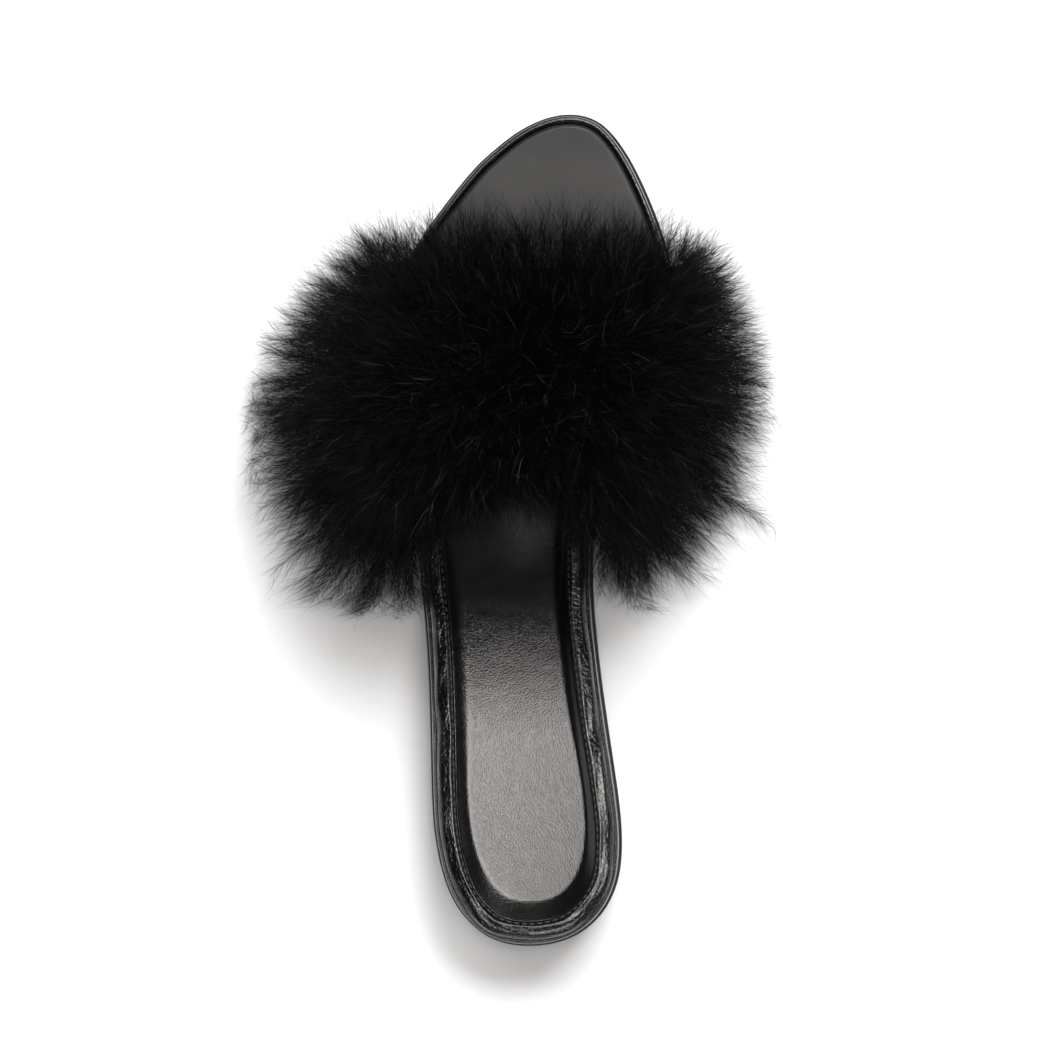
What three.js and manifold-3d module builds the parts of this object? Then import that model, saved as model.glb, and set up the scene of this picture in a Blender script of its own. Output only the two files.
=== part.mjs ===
// A flat marabou slipper for the left foot. It is a backless leather slide with an almond toe, a wrapped and
// stitched footbed edge, a low stacked heel, and one wide vamp band that carries a trim of marabou feathers.
// Units are millimetres. +Y points to the toe, +X to the medial side, +Z up. The origin is the middle of the
// heel's ground face, on the floor.

import * as THREE from "three";
import { mergeVertices } from "three/addons/utils/BufferGeometryUtils.js";
import Module from "manifold-3d";

const wasm = await Module();
wasm.setup();

// Lengths and widths of the outsole
const LENGTH = 248; // heel end to toe tip
const HEEL_WIDTH = 56;
const BALL_WIDTH = 86.5;
const HEEL_SEAT = 33.5; // heel end to the origin

// Heights of the sole
const HEEL_HEIGHT = 11; // floor to the underside of the outsole, under the heel
const TOE_SPRING = 7.5; // floor to the underside of the outsole, at the toe tip
const OUTSOLE = 3; // thickness of the outsole
const EDGE_BEVEL = 0.6; // bevel on both edges of the outsole
const GAP = 0.3; // between neighbouring pieces

// Heel
const TOP_PIECE = 3.2; // thickness of the rubber under the heel block
const HEEL_INSET = 0.6; // heel block from the outsole's edge, at its top
const HEEL_TAPER = 1.6; // how much further in the heel block is at its foot
const BREAST_SHARE = 0.27; // place of the heel's breast, as a share of LENGTH
const BREAST_HOLLOW = 4; // depth of the breast's curve
const SEAT_BEVEL = 0.5; // bevel round the heel's ground face

// Footbed, the edge binding that wraps it and the insole sock that lies in it
const BINDING_INSET = 0.9; // binding from the outsole's edge
const BINDING_SKIN = 1.2; // thickness of the binding where it covers the footbed's side
const BINDING_WIDTH_BACK = 6.5; // width of the stitched roll, from the heel to the waist
const BINDING_WIDTH_TOE = 2.1; // width of the plain roll round the toe
const ROLL_HEIGHT_BACK = 5.4; // height of the roll from its ledge to its crest
const ROLL_HEIGHT_TOE = 3;
const LEDGE = 3; // footbed under the roll
const TRAY = 4.6; // footbed under the middle of the sock
const SOCK = 1.2; // thickness of the insole sock
const CUP_RISE = 1.7; // how much the sock climbs to the roll, round the heel
const CUP_WIDTH = 3.2; // width of that climb
const SEAT_HOLLOW = 0.8; // how far the heel seat dips across its middle

// Vamp band
const BAND = 1.8; // thickness of the band
const BAND_TURN = 11; // how far the band is lasted under the footbed
const BAND_SPRING = 10.6; // height over the sole's underside where the band starts to curve in
const BAND_ROUND = 2.25; // exponent of the band's section, 2 is an ellipse
const BAND_CREST_SHARE = 0.56; // place of the band's crest across the foot, 0 lateral and 1 medial
const BAND_FRONT_SHARE = 0.815; // front and back edge at the sole, as shares of LENGTH
const BAND_BACK_SHARE = 0.54;
const FRONT_SETBACK_SHARE = 0.012; // how far each edge is drawn in at the crest, as a share of LENGTH
const BACK_SETBACK_SHARE = 0.02;

// Marabou trim
const DOWN = 15; // thickness of the dense down on the band
const DOWN_EDGE = 7; // its thickness at its edges
const DOWN_OVERHANG = 6; // how far the down passes the band's edges
const PLUME = 20; // length of a plume past the down
const PLUME_ROOT = 5.6; // radius of a plume inside the down
const PLUME_CURL_SHARE = 0.45; // share of its length that a plume's tip bends down or aside
const PLUME_ROWS = 6; // rows of plumes from the back edge to the front edge
const PLUMES_ACROSS = 17; // plumes in a row
const PARTING_SHARE = 0.6; // where the plumes part, 0 at the back edge and 1 at the front edge
const FLOOR_CLEARANCE = 3.5; // lowest plume over the floor

// How finely the solids are divided
const SOLE_ROWS = 32;
const BREAST_ROWS = 12;
const BREAST_STEPS = 7;
const BAND_ROWS = 6;
const BAND_STEPS = 22;
const PLUME_SIDES = 4;

// Plan of the outsole, heel end to toe tip: along is a share of LENGTH, centre a share of LENGTH towards the
// medial side, and width a share of the width that the row names.
const PLAN = [
  { along: 0, centre: -0.0024, width: 0, of: HEEL_WIDTH },
  { along: 0.0072, centre: -0.0006, width: 0.375, of: HEEL_WIDTH },
  { along: 0.0263, centre: 0.0012, width: 0.64, of: HEEL_WIDTH },
  { along: 0.0518, centre: 0.0014, width: 0.821, of: HEEL_WIDTH },
  { along: 0.09, centre: 0.0005, width: 0.947, of: HEEL_WIDTH },
  { along: 0.1474, centre: -0.0038, width: 1, of: HEEL_WIDTH },
  { along: 0.2238, centre: -0.0102, width: 0.971, of: HEEL_WIDTH },
  { along: 0.3003, centre: -0.017, width: 0.93, of: HEEL_WIDTH },
  { along: 0.3704, centre: -0.0233, width: 0.911, of: HEEL_WIDTH },
  { along: 0.4341, centre: -0.029, width: 0.918, of: HEEL_WIDTH },
  { along: 0.4979, centre: -0.0318, width: 0.623, of: BALL_WIDTH },
  { along: 0.5775, centre: -0.0265, width: 0.757, of: BALL_WIDTH },
  { along: 0.6412, centre: -0.0145, width: 0.892, of: BALL_WIDTH },
  { along: 0.705, centre: -0.0036, width: 0.981, of: BALL_WIDTH },
  { along: 0.7687, centre: 0.0026, width: 0.994, of: BALL_WIDTH },
  { along: 0.8165, centre: 0.0072, width: 0.93, of: BALL_WIDTH },
  { along: 0.8483, centre: 0.0122, width: 0.853, of: BALL_WIDTH },
  { along: 0.8882, centre: 0.0194, width: 0.73, of: BALL_WIDTH },
  { along: 0.9136, centre: 0.0239, width: 0.642, of: BALL_WIDTH },
  { along: 0.9391, centre: 0.0288, width: 0.542, of: BALL_WIDTH },
  { along: 0.9646, centre: 0.0354, width: 0.413, of: BALL_WIDTH },
  { along: 0.9837, centre: 0.0409, width: 0.286, of: BALL_WIDTH },
  { along: 0.9949, centre: 0.0452, width: 0.164, of: BALL_WIDTH },
  { along: 1, centre: 0.0466, width: 0, of: BALL_WIDTH },
];

// Underside of the outsole: rise over the floor. It is level under the heel seat and under the ball.
const UNDERSIDE = [
  { along: 0, rise: HEEL_HEIGHT },
  { along: 0.13, rise: HEEL_HEIGHT },
  { along: 0.27, rise: 0.92 * HEEL_HEIGHT },
  { along: 0.38, rise: 0.56 * HEEL_HEIGHT },
  { along: 0.47, rise: 0.17 * HEEL_HEIGHT },
  { along: 0.55, rise: 0 },
  { along: 0.77, rise: 0 },
  { along: 0.86, rise: 0.18 * TOE_SPRING },
  { along: 0.94, rise: 0.54 * TOE_SPRING },
  { along: 1, rise: TOE_SPRING },
];

// Inside of the vamp band at its crest: height over the place where it starts to curve in.
const INSTEP_HEIGHT = 52;
const INSTEP = [
  { along: 0.48, height: 1.08 * INSTEP_HEIGHT },
  { along: 0.55, height: INSTEP_HEIGHT },
  { along: 0.63, height: 0.88 * INSTEP_HEIGHT },
  { along: 0.72, height: 0.75 * INSTEP_HEIGHT },
  { along: 0.82, height: 0.62 * INSTEP_HEIGHT },
  { along: 0.88, height: 0.55 * INSTEP_HEIGHT },
];

// How the footbed's edge changes from the stitched roll (1) to the plain roll round the toe (0), and how far
// the sock is cupped (1 in the heel). width is the width of the cup's climb as a multiple of CUP_WIDTH.
const EDGE = [
  { along: 0, roll: 1, cup: 1, width: 1.9 },
  { along: 0.1, roll: 1, cup: 1, width: 1.2 },
  { along: 0.3, roll: 1, cup: 0.8, width: 1 },
  { along: 0.6, roll: 1, cup: 0.5, width: 1 },
  { along: 0.68, roll: 0.9, cup: 0.4, width: 1 },
  { along: 0.84, roll: 0, cup: 0, width: 1 },
  { along: 1, roll: 0, cup: 0, width: 1 },
];

// Length of the plumes as a multiple of PLUME, from the back edge to the front edge, on the two flanks and on
// the crest between them, and how many degrees they lean back (negative) or forward.
const PLUMES = [
  { place: 0, lateral: 2.25, crest: 0.65, medial: 1.95, lean: -74 },
  { place: 0.3, lateral: 1.7, crest: 0.85, medial: 1.25, lean: -48 },
  { place: PARTING_SHARE, lateral: 1.2, crest: 0.75, medial: 0.7, lean: 0 },
  { place: 0.85, lateral: 0.95, crest: 0.75, medial: 0.6, lean: 40 },
  { place: 1, lateral: 0.8, crest: 0.8, medial: 0.6, lean: 64 },
];

// Outline of a plume from its root to its tip: thickness is a multiple of PLUME_ROOT.
const PLUME_SHAPE = [
  { share: 0, thickness: 0.9 },
  { share: 0.5, thickness: 0.9 },
  { share: 0.82, thickness: 0.46 },
];

// A smooth function through one column of a table. A stretch between two equal values is level.
function through(rows, column, place) {
  const xs = rows.map(place);
  const ys = rows.map(typeof column === "function" ? column : (row) => row[column]);
  const slopes = ys.slice(1).map((y, i) => (y - ys[i]) / (xs[i + 1] - xs[i]));
  const tangents = ys.map((_, i) => {
    const before = slopes[Math.max(i - 1, 0)];
    const after = slopes[Math.min(i, slopes.length - 1)];
    return before === 0 || after === 0 ? 0 : (before + after) / 2;
  });
  return (x) => {
    let i = 0;
    while (i < slopes.length - 1 && x > xs[i + 1]) i += 1;
    const span = xs[i + 1] - xs[i];
    const t = THREE.MathUtils.clamp((x - xs[i]) / span, 0, 1);
    const rise = t * t * (3 - 2 * t);
    const enter = t * (1 - t) * (1 - t) * tangents[i];
    const leave = t * t * (1 - t) * tangents[i + 1];
    return ys[i] + rise * (ys[i + 1] - ys[i]) + span * (enter - leave);
  };
}

const alongOf = (y) => THREE.MathUtils.clamp((y + HEEL_SEAT) / LENGTH, 0, 1);
const angleOf = (along) => Math.acos(1 - 2 * along);
const byAlong = (row) => row.along;
const byAngle = (row) => angleOf(row.along);

// The plan is smooth when it is read by the angle of its stations, because its ends are round.
const planCentre = through(PLAN, (row) => row.centre * LENGTH, byAngle);
const planWidth = through(PLAN, (row) => row.width * row.of, byAngle);
const rise = through(UNDERSIDE, "rise", byAlong);
const instep = through(INSTEP, "height", byAlong);
const rollShare = through(EDGE, "roll", byAlong);
const cupShare = through(EDGE, "cup", byAlong);
const cupWidth = through(EDGE, (row) => row.width * CUP_WIDTH, byAlong);

const LATERAL = -1;
const MEDIAL = 1;

// A point of the outsole's plan on one side, at a station's angle.
function edgePoint(side, angle) {
  const y = (LENGTH * (1 - Math.cos(angle))) / 2 - HEEL_SEAT;
  return new THREE.Vector2(planCentre(angle) + (side * planWidth(angle)) / 2, y);
}

// The same point moved straight in from the edge.
function insetPoint(side, angle, inset) {
  const step = 1e-3;
  const before = edgePoint(side, Math.max(angle - step, 0));
  const run = edgePoint(side, Math.min(angle + step, Math.PI)).sub(before);
  const inward = new THREE.Vector2(run.y, -run.x).multiplyScalar(-side).normalize();
  const end = angle < step || angle > Math.PI - step;
  if (end) inward.set(0, Math.sign(Math.PI / 2 - angle));
  return edgePoint(side, angle).addScaledVector(inward, inset);
}

// A closed solid from vertices and triangles.
function solid(vertices, triangles) {
  const geometry = new THREE.BufferGeometry().setFromPoints(vertices);
  geometry.setIndex(triangles);
  const merged = mergeVertices(geometry, 1e-4);
  return new wasm.Manifold(
    new wasm.Mesh({
      numProp: 3,
      vertProperties: merged.attributes.position.array,
      triVerts: new Uint32Array(merged.index.array),
    }),
  );
}

// One loop round the plan: heel end, lateral side, front end, medial side. inset and height are functions of
// the place along the sole. A loop that stops at the heel's breast ends in a hollow curve.
function loop({ inset, height }, breast) {
  const at = (side, angle) => {
    const flat = insetPoint(side, angle, inset((1 - Math.cos(angle)) / 2));
    return new THREE.Vector3(flat.x, flat.y, height(alongOf(flat.y)));
  };
  const run = (side, last, rows, count) =>
    Array.from({ length: count }, (_, i) => at(side, (last * (i + 1)) / rows));
  if (!breast) {
    const [lateral, medial] = [LATERAL, MEDIAL].map((side) => run(side, Math.PI, SOLE_ROWS, SOLE_ROWS - 1));
    return [at(LATERAL, 0), ...lateral, at(LATERAL, Math.PI), ...medial.reverse()];
  }
  const last = angleOf(breast.along);
  const [lateral, medial] = [LATERAL, MEDIAL].map((side) => run(side, last, BREAST_ROWS, BREAST_ROWS));
  const arc = Array.from({ length: BREAST_STEPS }, (_, i) => {
    const share = (i + 1) / (BREAST_STEPS + 1);
    const point = lateral.at(-1).clone().lerp(medial.at(-1), share);
    point.y -= breast.hollow * 4 * share * (1 - share);
    return point;
  });
  return [at(LATERAL, 0), ...lateral, ...arc, ...medial.reverse()];
}

// The triangles that fill a loop, seen from above, with `columns` points inside each row.
function fill(points, columns, sag) {
  const rows = points.length / 2 - 1;
  const inside = [];
  const rung = (row) => {
    const from = row;
    const to = points.length - row;
    const middle = Array.from({ length: columns }, (_, k) => {
      const share = (k + 1) / (columns + 1);
      const point = points[from].clone().lerp(points[to], share);
      point.z -= sag(alongOf(point.y)) * 4 * share * (1 - share);
      inside.push(point);
      return points.length + inside.length - 1;
    });
    return [from, ...middle, to];
  };
  const rungs = Array.from({ length: rows }, (_, i) => rung(i + 1));
  const triangles = [];
  const band = (near, far) =>
    near.slice(1).forEach((corner, k) => {
      triangles.push(near[k], corner, far[k + 1], near[k], far[k + 1], far[k]);
    });
  const fan = (tip, line) =>
    line.slice(1).forEach((corner, k) => triangles.push(tip, corner, line[k]));
  fan(0, rungs[0]);
  rungs.slice(1).forEach((far, i) => band(rungs[i], far));
  fan(rows + 1, rungs.at(-1).toReversed());
  return { inside, triangles };
}

// The triangles that fill a loop with a hollow front, seen from above.
function fillHollow(points) {
  const outline = points.map((point) => new THREE.Vector2(point.x, point.y));
  const triangles = THREE.ShapeUtils.triangulateShape(outline, []).flatMap(([a, b, c]) => {
    const turn = outline[b].clone().sub(outline[a]).cross(outline[c].clone().sub(outline[a]));
    return turn > 0 ? [a, b, c] : [a, c, b];
  });
  return { inside: [], triangles };
}

// A solid whose surface follows loops from its underside up and over. It is closed by filling its first and
// last loop, or by joining them where `hollow` is set.
function loopSolid(profile, { breast, hollow = false, columns = 0, sag = () => 0 } = {}) {
  const loops = profile.map((row) => loop(row, breast));
  const count = loops[0].length;
  const vertices = loops.flat();
  const triangles = [];
  const wall = (low, high) => {
    for (let i = 0; i < count; i += 1) {
      const next = (i + 1) % count;
      const [a, b] = [low * count + i, low * count + next];
      const [c, d] = [high * count + next, high * count + i];
      triangles.push(a, d, c, a, c, b);
    }
  };
  loops.slice(1).forEach((_, i) => wall(i, i + 1));
  if (hollow) {
    wall(loops.length - 1, 0);
    return solid(vertices, triangles);
  }
  const bottom = breast ? fillHollow(loops[0]) : fill(loops[0], 0, sag);
  const top = breast ? fillHollow(loops.at(-1)) : fill(loops.at(-1), columns, sag);
  const shift = (loops.length - 1) * count;
  const inner = vertices.length - count - shift;
  triangles.push(...bottom.triangles.toReversed());
  triangles.push(...top.triangles.map((corner) => corner + shift + (corner < count ? 0 : inner)));
  return solid([...vertices, ...top.inside], triangles);
}

// A solid between two grids of points, the outer one on the side that the rows and columns turn away from.
function sheetSolid(outer, inner) {
  const rows = outer.length;
  const columns = outer[0].length;
  const id = (row, column, side) => (side * rows + row) * columns + column;
  const triangles = [];
  const quad = (a, b, c, d) => triangles.push(a, c, b, a, d, c);
  for (let r = 0; r < rows - 1; r += 1) {
    for (let c = 0; c < columns - 1; c += 1) {
      quad(id(r, c, 0), id(r + 1, c, 0), id(r + 1, c + 1, 0), id(r, c + 1, 0));
      quad(id(r, c, 1), id(r, c + 1, 1), id(r + 1, c + 1, 1), id(r + 1, c, 1));
    }
    quad(id(r, 0, 0), id(r, 0, 1), id(r + 1, 0, 1), id(r + 1, 0, 0));
    const end = columns - 1;
    quad(id(r, end, 0), id(r + 1, end, 0), id(r + 1, end, 1), id(r, end, 1));
  }
  for (let c = 0; c < columns - 1; c += 1) {
    quad(id(0, c, 0), id(0, c + 1, 0), id(0, c + 1, 1), id(0, c, 1));
    const end = rows - 1;
    quad(id(end, c, 0), id(end, c, 1), id(end, c + 1, 1), id(end, c + 1, 0));
  }
  return solid([...outer.flat(), ...inner.flat()], triangles);
}

const grid = (rows, columns, point) =>
  Array.from({ length: rows }, (_, r) =>
    Array.from({ length: columns }, (_, c) => point(r / (rows - 1), c / (columns - 1))),
  );

const level = (value) => () => value;
const over = (height) => (along) => rise(along) + height;

// Heights over the outsole's underside, from which the sole's pieces are stacked
const footbedFoot = OUTSOLE + GAP;
const ledgeTop = footbedFoot + LEDGE;
const trayTop = footbedFoot + TRAY;
const sockFoot = trayTop + GAP;
const bandTurnTop = footbedFoot + BAND;

const bindingWidth = (along) =>
  THREE.MathUtils.lerp(BINDING_WIDTH_TOE, BINDING_WIDTH_BACK, rollShare(along));
const rollHeight = (along) =>
  THREE.MathUtils.lerp(ROLL_HEIGHT_TOE, ROLL_HEIGHT_BACK, rollShare(along));
const cupRise = (along) => CUP_RISE * cupShare(along);
const seatHollow = (along) => SEAT_HOLLOW * Math.max(0, 1 - along / BAND_BACK_SHARE);

function outsole() {
  return loopSolid([
    { inset: level(EDGE_BEVEL), height: rise },
    { inset: level(0), height: over(EDGE_BEVEL) },
    { inset: level(0), height: over(OUTSOLE - EDGE_BEVEL) },
    { inset: level(EDGE_BEVEL), height: over(OUTSOLE) },
  ]);
}

function heelBlock() {
  const foot = TOP_PIECE + GAP;
  return loopSolid(
    [
      { inset: level(HEEL_INSET + HEEL_TAPER), height: level(foot) },
      { inset: level(HEEL_INSET), height: (along) => rise(along) - GAP },
    ],
    { breast: { along: BREAST_SHARE, hollow: BREAST_HOLLOW } },
  );
}

function topPiece() {
  const inset = HEEL_INSET + HEEL_TAPER;
  return loopSolid(
    [
      { inset: level(inset + SEAT_BEVEL), height: level(0) },
      { inset: level(inset), height: level(SEAT_BEVEL) },
      { inset: level(inset), height: level(TOP_PIECE) },
    ],
    { breast: { along: BREAST_SHARE, hollow: BREAST_HOLLOW } },
  );
}

// The binding covers the footbed's side and makes the roll round its top edge.
function edgeBinding() {
  const across = (share) => (along) => BINDING_INSET + share * bindingWidth(along);
  const up = (share) => (along) => rise(along) + ledgeTop + GAP + share * rollHeight(along);
  const skin = level(BINDING_INSET + BINDING_SKIN);
  return loopSolid(
    [
      { inset: skin, height: over(footbedFoot) },
      { inset: level(BINDING_INSET), height: over(footbedFoot) },
      { inset: level(BINDING_INSET), height: up(0.3) },
      { inset: across(0.08), height: up(0.76) },
      { inset: across(0.5), height: up(1) },
      { inset: across(0.78), height: up(0.98) },
      { inset: across(1), height: up(0.8) },
      { inset: across(1), height: up(0) },
      { inset: skin, height: up(0) },
    ],
    { hollow: true },
  );
}

function footbed() {
  const core = (along) => BINDING_INSET + bindingWidth(along) + GAP;
  const flat = (along) => core(along) + cupWidth(along);
  const side = level(BINDING_INSET + BINDING_SKIN + GAP);
  const brim = (along) => rise(along) + trayTop + cupRise(along);
  return loopSolid(
    [
      { inset: side, height: over(footbedFoot) },
      { inset: side, height: over(ledgeTop) },
      { inset: core, height: over(ledgeTop) },
      { inset: core, height: brim },
      { inset: flat, height: over(trayTop) },
    ],
    { columns: 3, sag: seatHollow },
  );
}

function insoleSock() {
  const edge = (along) => BINDING_INSET + bindingWidth(along) + GAP;
  const flat = (along) => edge(along) + cupWidth(along);
  const lifted = (height) => (along) => rise(along) + height + cupRise(along);
  const profile = [
    { inset: flat, height: over(sockFoot) },
    { inset: edge, height: lifted(sockFoot) },
    { inset: edge, height: lifted(sockFoot + SOCK) },
    { inset: flat, height: over(sockFoot + SOCK) },
  ];
  return loopSolid(profile, { columns: 3, sag: seatHollow });
}

// Where the band's inside stands beside the binding
const BAND_INSET = BINDING_INSET - GAP;

// A point on the band's inside. along is the place along the sole, and turn goes from 0, where the band
// starts to curve in on the lateral side, over the crest to 1 on the medial side.
function bandInside(along, turn) {
  const angle = angleOf(along);
  const lateral = insetPoint(LATERAL, angle, BAND_INSET);
  const medial = insetPoint(MEDIAL, angle, BAND_INSET);
  const theta = Math.PI * turn;
  const power = (value) => Math.sign(value) * Math.abs(value) ** (2 / BAND_ROUND);
  const even = (1 - power(Math.cos(theta))) / 2;
  const skew = Math.log(BAND_CREST_SHARE) / Math.log(0.5);
  const flat = lateral.lerp(medial, even ** skew);
  const spring = rise(along) + BAND_SPRING;
  return new THREE.Vector3(flat.x, flat.y, spring + instep(along) * power(Math.sin(theta)));
}

// The band's outward normal and its direction towards the toe at such a point.
function bandFrame(along, turn) {
  const step = 2e-3;
  const t = THREE.MathUtils.clamp(turn, step, 1 - step);
  const ahead = bandInside(along + step, t).sub(bandInside(along - step, t)).normalize();
  const round = bandInside(along, t + step).sub(bandInside(along, t - step)).normalize();
  return { ahead, normal: round.clone().cross(ahead).normalize() };
}

// A point `lift` away from the band's inside.
function bandPoint(along, turn, lift) {
  return bandInside(along, turn).addScaledVector(bandFrame(along, turn).normal, lift);
}

const arch = (turn) => Math.sin(Math.PI * turn);
const bandFrontAt = (turn) => BAND_FRONT_SHARE - FRONT_SETBACK_SHARE * arch(turn);
const bandBackAt = (turn) => BAND_BACK_SHARE + BACK_SETBACK_SHARE * arch(turn);
const alongBand = (turn, share) => THREE.MathUtils.lerp(bandBackAt(turn), bandFrontAt(turn), share);

// The band stands on two turned-in flanges, climbs beside the footbed and arches over the foot.
function vampBand() {
  const low = (side, along, inset, drop) => {
    const flat = insetPoint(side, angleOf(along), inset);
    return new THREE.Vector3(flat.x, flat.y, rise(along) + bandTurnTop - drop);
  };
  const foot = (side, along, lift) => [
    low(side, along, BAND_INSET + BAND_TURN, lift),
    low(side, along, BAND_INSET - lift, lift),
  ];
  const path = (share, lift) => {
    const turns = Array.from({ length: BAND_STEPS + 1 }, (_, i) => i / BAND_STEPS);
    return [
      ...foot(LATERAL, alongBand(0, share), lift),
      ...turns.map((turn) => bandPoint(alongBand(turn, share), turn, lift)),
      ...foot(MEDIAL, alongBand(1, share), lift).reverse(),
    ];
  };
  const layer = (lift) =>
    Array.from({ length: BAND_ROWS + 1 }, (_, row) => path(row / BAND_ROWS, lift));
  return sheetSolid(layer(BAND), layer(0));
}

// The room that the band's flanges need under the footbed on one side.
function bandPocket(side) {
  const room = GAP / LENGTH;
  const layer = (height) =>
    grid(BAND_ROWS + 1, 2, (share, across) => {
      const along = THREE.MathUtils.lerp(BAND_BACK_SHARE - room, BAND_FRONT_SHARE + room, share);
      const inset = (BAND_INSET + BAND_TURN + 2 * GAP) * across - (1 - across) * BAND;
      const flat = insetPoint(side, angleOf(along), inset);
      return new THREE.Vector3(flat.x, flat.y, rise(along) + height);
    });
  const top = layer(bandTurnTop + GAP);
  const bottom = layer(0);
  return side === LATERAL ? sheetSolid(top, bottom) : sheetSolid(bottom, top);
}

const withPockets = (piece) =>
  piece.subtract(bandPocket(LATERAL)).subtract(bandPocket(MEDIAL));

// Repeatable scatter between -1 and 1 for the plumes.
function scatter(index, salt) {
  const value = Math.sin(index * 127.1 + salt * 311.7) * 43758.5453;
  return 2 * (value - Math.floor(value)) - 1;
}

const plumeColumn = (column) => through(PLUMES, column, (row) => row.place);
const plumeLength = {
  lateral: plumeColumn("lateral"),
  crest: plumeColumn("crest"),
  medial: plumeColumn("medial"),
};
const lean = plumeColumn("lean");

const downReach = DOWN_OVERHANG / LENGTH;
const alongDown = (turn, place) =>
  THREE.MathUtils.lerp(bandBackAt(turn) - downReach, bandFrontAt(turn) + downReach, place);

// The dense down under the plumes, thinnest along its edges.
function down() {
  const thickness = (place, turn) => {
    const middle = (share) => 1 - (2 * share - 1) ** 4;
    return THREE.MathUtils.lerp(DOWN_EDGE, DOWN, Math.sqrt(middle(place) * middle(turn)));
  };
  const layer = (lift) =>
    grid(BAND_ROWS, BAND_STEPS + 1, (place, turn) =>
      bandPoint(alongDown(turn, place), turn, lift(place, turn)),
    );
  return sheetSolid(
    layer((place, turn) => BAND + thickness(place, turn)),
    layer(level(0)),
  );
}

// One plume: a tapered lock that curls towards `bend`.
function plume(root, direction, bend, length) {
  const across = new THREE.Vector3(0.31, 0.17, 0.93).cross(direction).normalize();
  const upright = direction.clone().cross(across).normalize();
  const spot = (share) =>
    root
      .clone()
      .addScaledVector(direction, length * share)
      .addScaledVector(bend, length * PLUME_CURL_SHARE * share * share);
  const vertices = PLUME_SHAPE.flatMap(({ share, thickness }) =>
    Array.from({ length: PLUME_SIDES }, (_, k) => {
      const around = (2 * Math.PI * k) / PLUME_SIDES + 2 * share;
      return spot(share)
        .addScaledVector(across, PLUME_ROOT * thickness * Math.cos(around))
        .addScaledVector(upright, PLUME_ROOT * thickness * Math.sin(around));
    }),
  );
  vertices.push(spot(0), spot(1));
  const [foot, tip] = [vertices.length - 2, vertices.length - 1];
  const last = (PLUME_SHAPE.length - 1) * PLUME_SIDES;
  const triangles = [];
  for (let k = 0; k < PLUME_SIDES; k += 1) {
    const next = (k + 1) % PLUME_SIDES;
    for (let ring = 0; ring < last; ring += PLUME_SIDES) {
      const [a, b] = [ring + k, ring + next];
      triangles.push(a, b, b + PLUME_SIDES, a, b + PLUME_SIDES, a + PLUME_SIDES);
    }
    triangles.push(foot, next, k, last + k, last + next, tip);
  }
  return solid(vertices, triangles);
}

// A plume that grows from the down at a place between its back and front edge and a turn round the foot.
function plumeAt(place, turn, index) {
  const along = alongDown(turn, THREE.MathUtils.lerp(0.06, 0.94, place));
  const { ahead, normal } = bandFrame(along, turn);
  const flank = (2 * turn - 1) ** 2;
  const side = turn < 0.5 ? plumeLength.lateral : plumeLength.medial;
  const free = PLUME * THREE.MathUtils.lerp(plumeLength.crest(place), side(place), flank);
  const tilt = THREE.MathUtils.degToRad(lean(place) * (1 - 0.2 * flank) + 9 * scatter(index, 3));
  const direction = normal.clone().multiplyScalar(Math.cos(tilt));
  direction.addScaledVector(ahead.setX(0).normalize(), Math.sin(tilt));
  direction.z -= 0.2 * flank;
  direction.normalize();
  const bend = new THREE.Vector3(0.3 * scatter(index, 5), 0.3 * scatter(index, 6), -0.8);
  bend.addScaledVector(normal, 0.4 * flank);
  const root = bandPoint(along, turn, BAND + GAP + DOWN / 2);
  const length = DOWN / 2 + free * (1 + 0.15 * scatter(index, 4));
  const fall = -(direction.z + PLUME_CURL_SHARE * bend.z);
  const room = root.z - PLUME_ROOT - FLOOR_CLEARANCE;
  return plume(root, direction, bend, fall > 0 ? Math.min(length, room / fall) : length);
}

// The room that the sole, the band's walls beside it and the band's arch need, clear of the feathers.
function shoeRoom() {
  const inset = level(BAND_INSET - BAND - GAP);
  const sole = loopSolid([
    { inset, height: over(-GAP) },
    { inset, height: over(BAND_SPRING + BAND) },
  ]);
  const room = GAP / LENGTH / (BAND_FRONT_SHARE - BAND_BACK_SHARE);
  const layer = (lift) =>
    grid(BAND_ROWS + 1, BAND_STEPS + 1, (row, turn) =>
      bandPoint(alongBand(turn, THREE.MathUtils.lerp(-room, 1 + room, row)), turn, lift),
    );
  return sole.add(sheetSolid(layer(BAND + GAP), layer(-GAP)));
}

function marabouTrim() {
  const plumes = [];
  for (let row = 0; row < PLUME_ROWS; row += 1) {
    for (let column = 0; column < PLUMES_ACROSS; column += 1) {
      const index = row * PLUMES_ACROSS + column;
      const stagger = row % 2 ? 0.25 : -0.25;
      const place = (row + 0.5 + 0.25 * scatter(index, 2)) / PLUME_ROWS;
      const turn = (column + 0.5 + stagger + 0.22 * scatter(index, 1)) / PLUMES_ACROSS;
      plumes.push(plumeAt(place, THREE.MathUtils.clamp(turn, 0.015, 0.985), index));
    }
  }
  // The plumes close off small pockets between them, so the outer shell alone is kept.
  const shells = wasm.Manifold.union([down(), ...plumes]).subtract(shoeRoom()).decompose();
  return shells.reduce((best, shell) => (shell.volume() > best.volume() ? shell : best));
}

// Leather, rubber and feathers
const blackLeather = { color: 0x1b1a1b, roughness: 0.42, metalness: 0 };
const insoleLeather = { color: 0x2a2827, roughness: 0.38, metalness: 0 };
const soleLeather = { color: 0x141414, roughness: 0.55, metalness: 0 };
const heelRubber = { color: 0x101010, roughness: 0.8, metalness: 0 };
const marabou = { color: 0x050506, roughness: 0.9, metalness: 0 };

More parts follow.
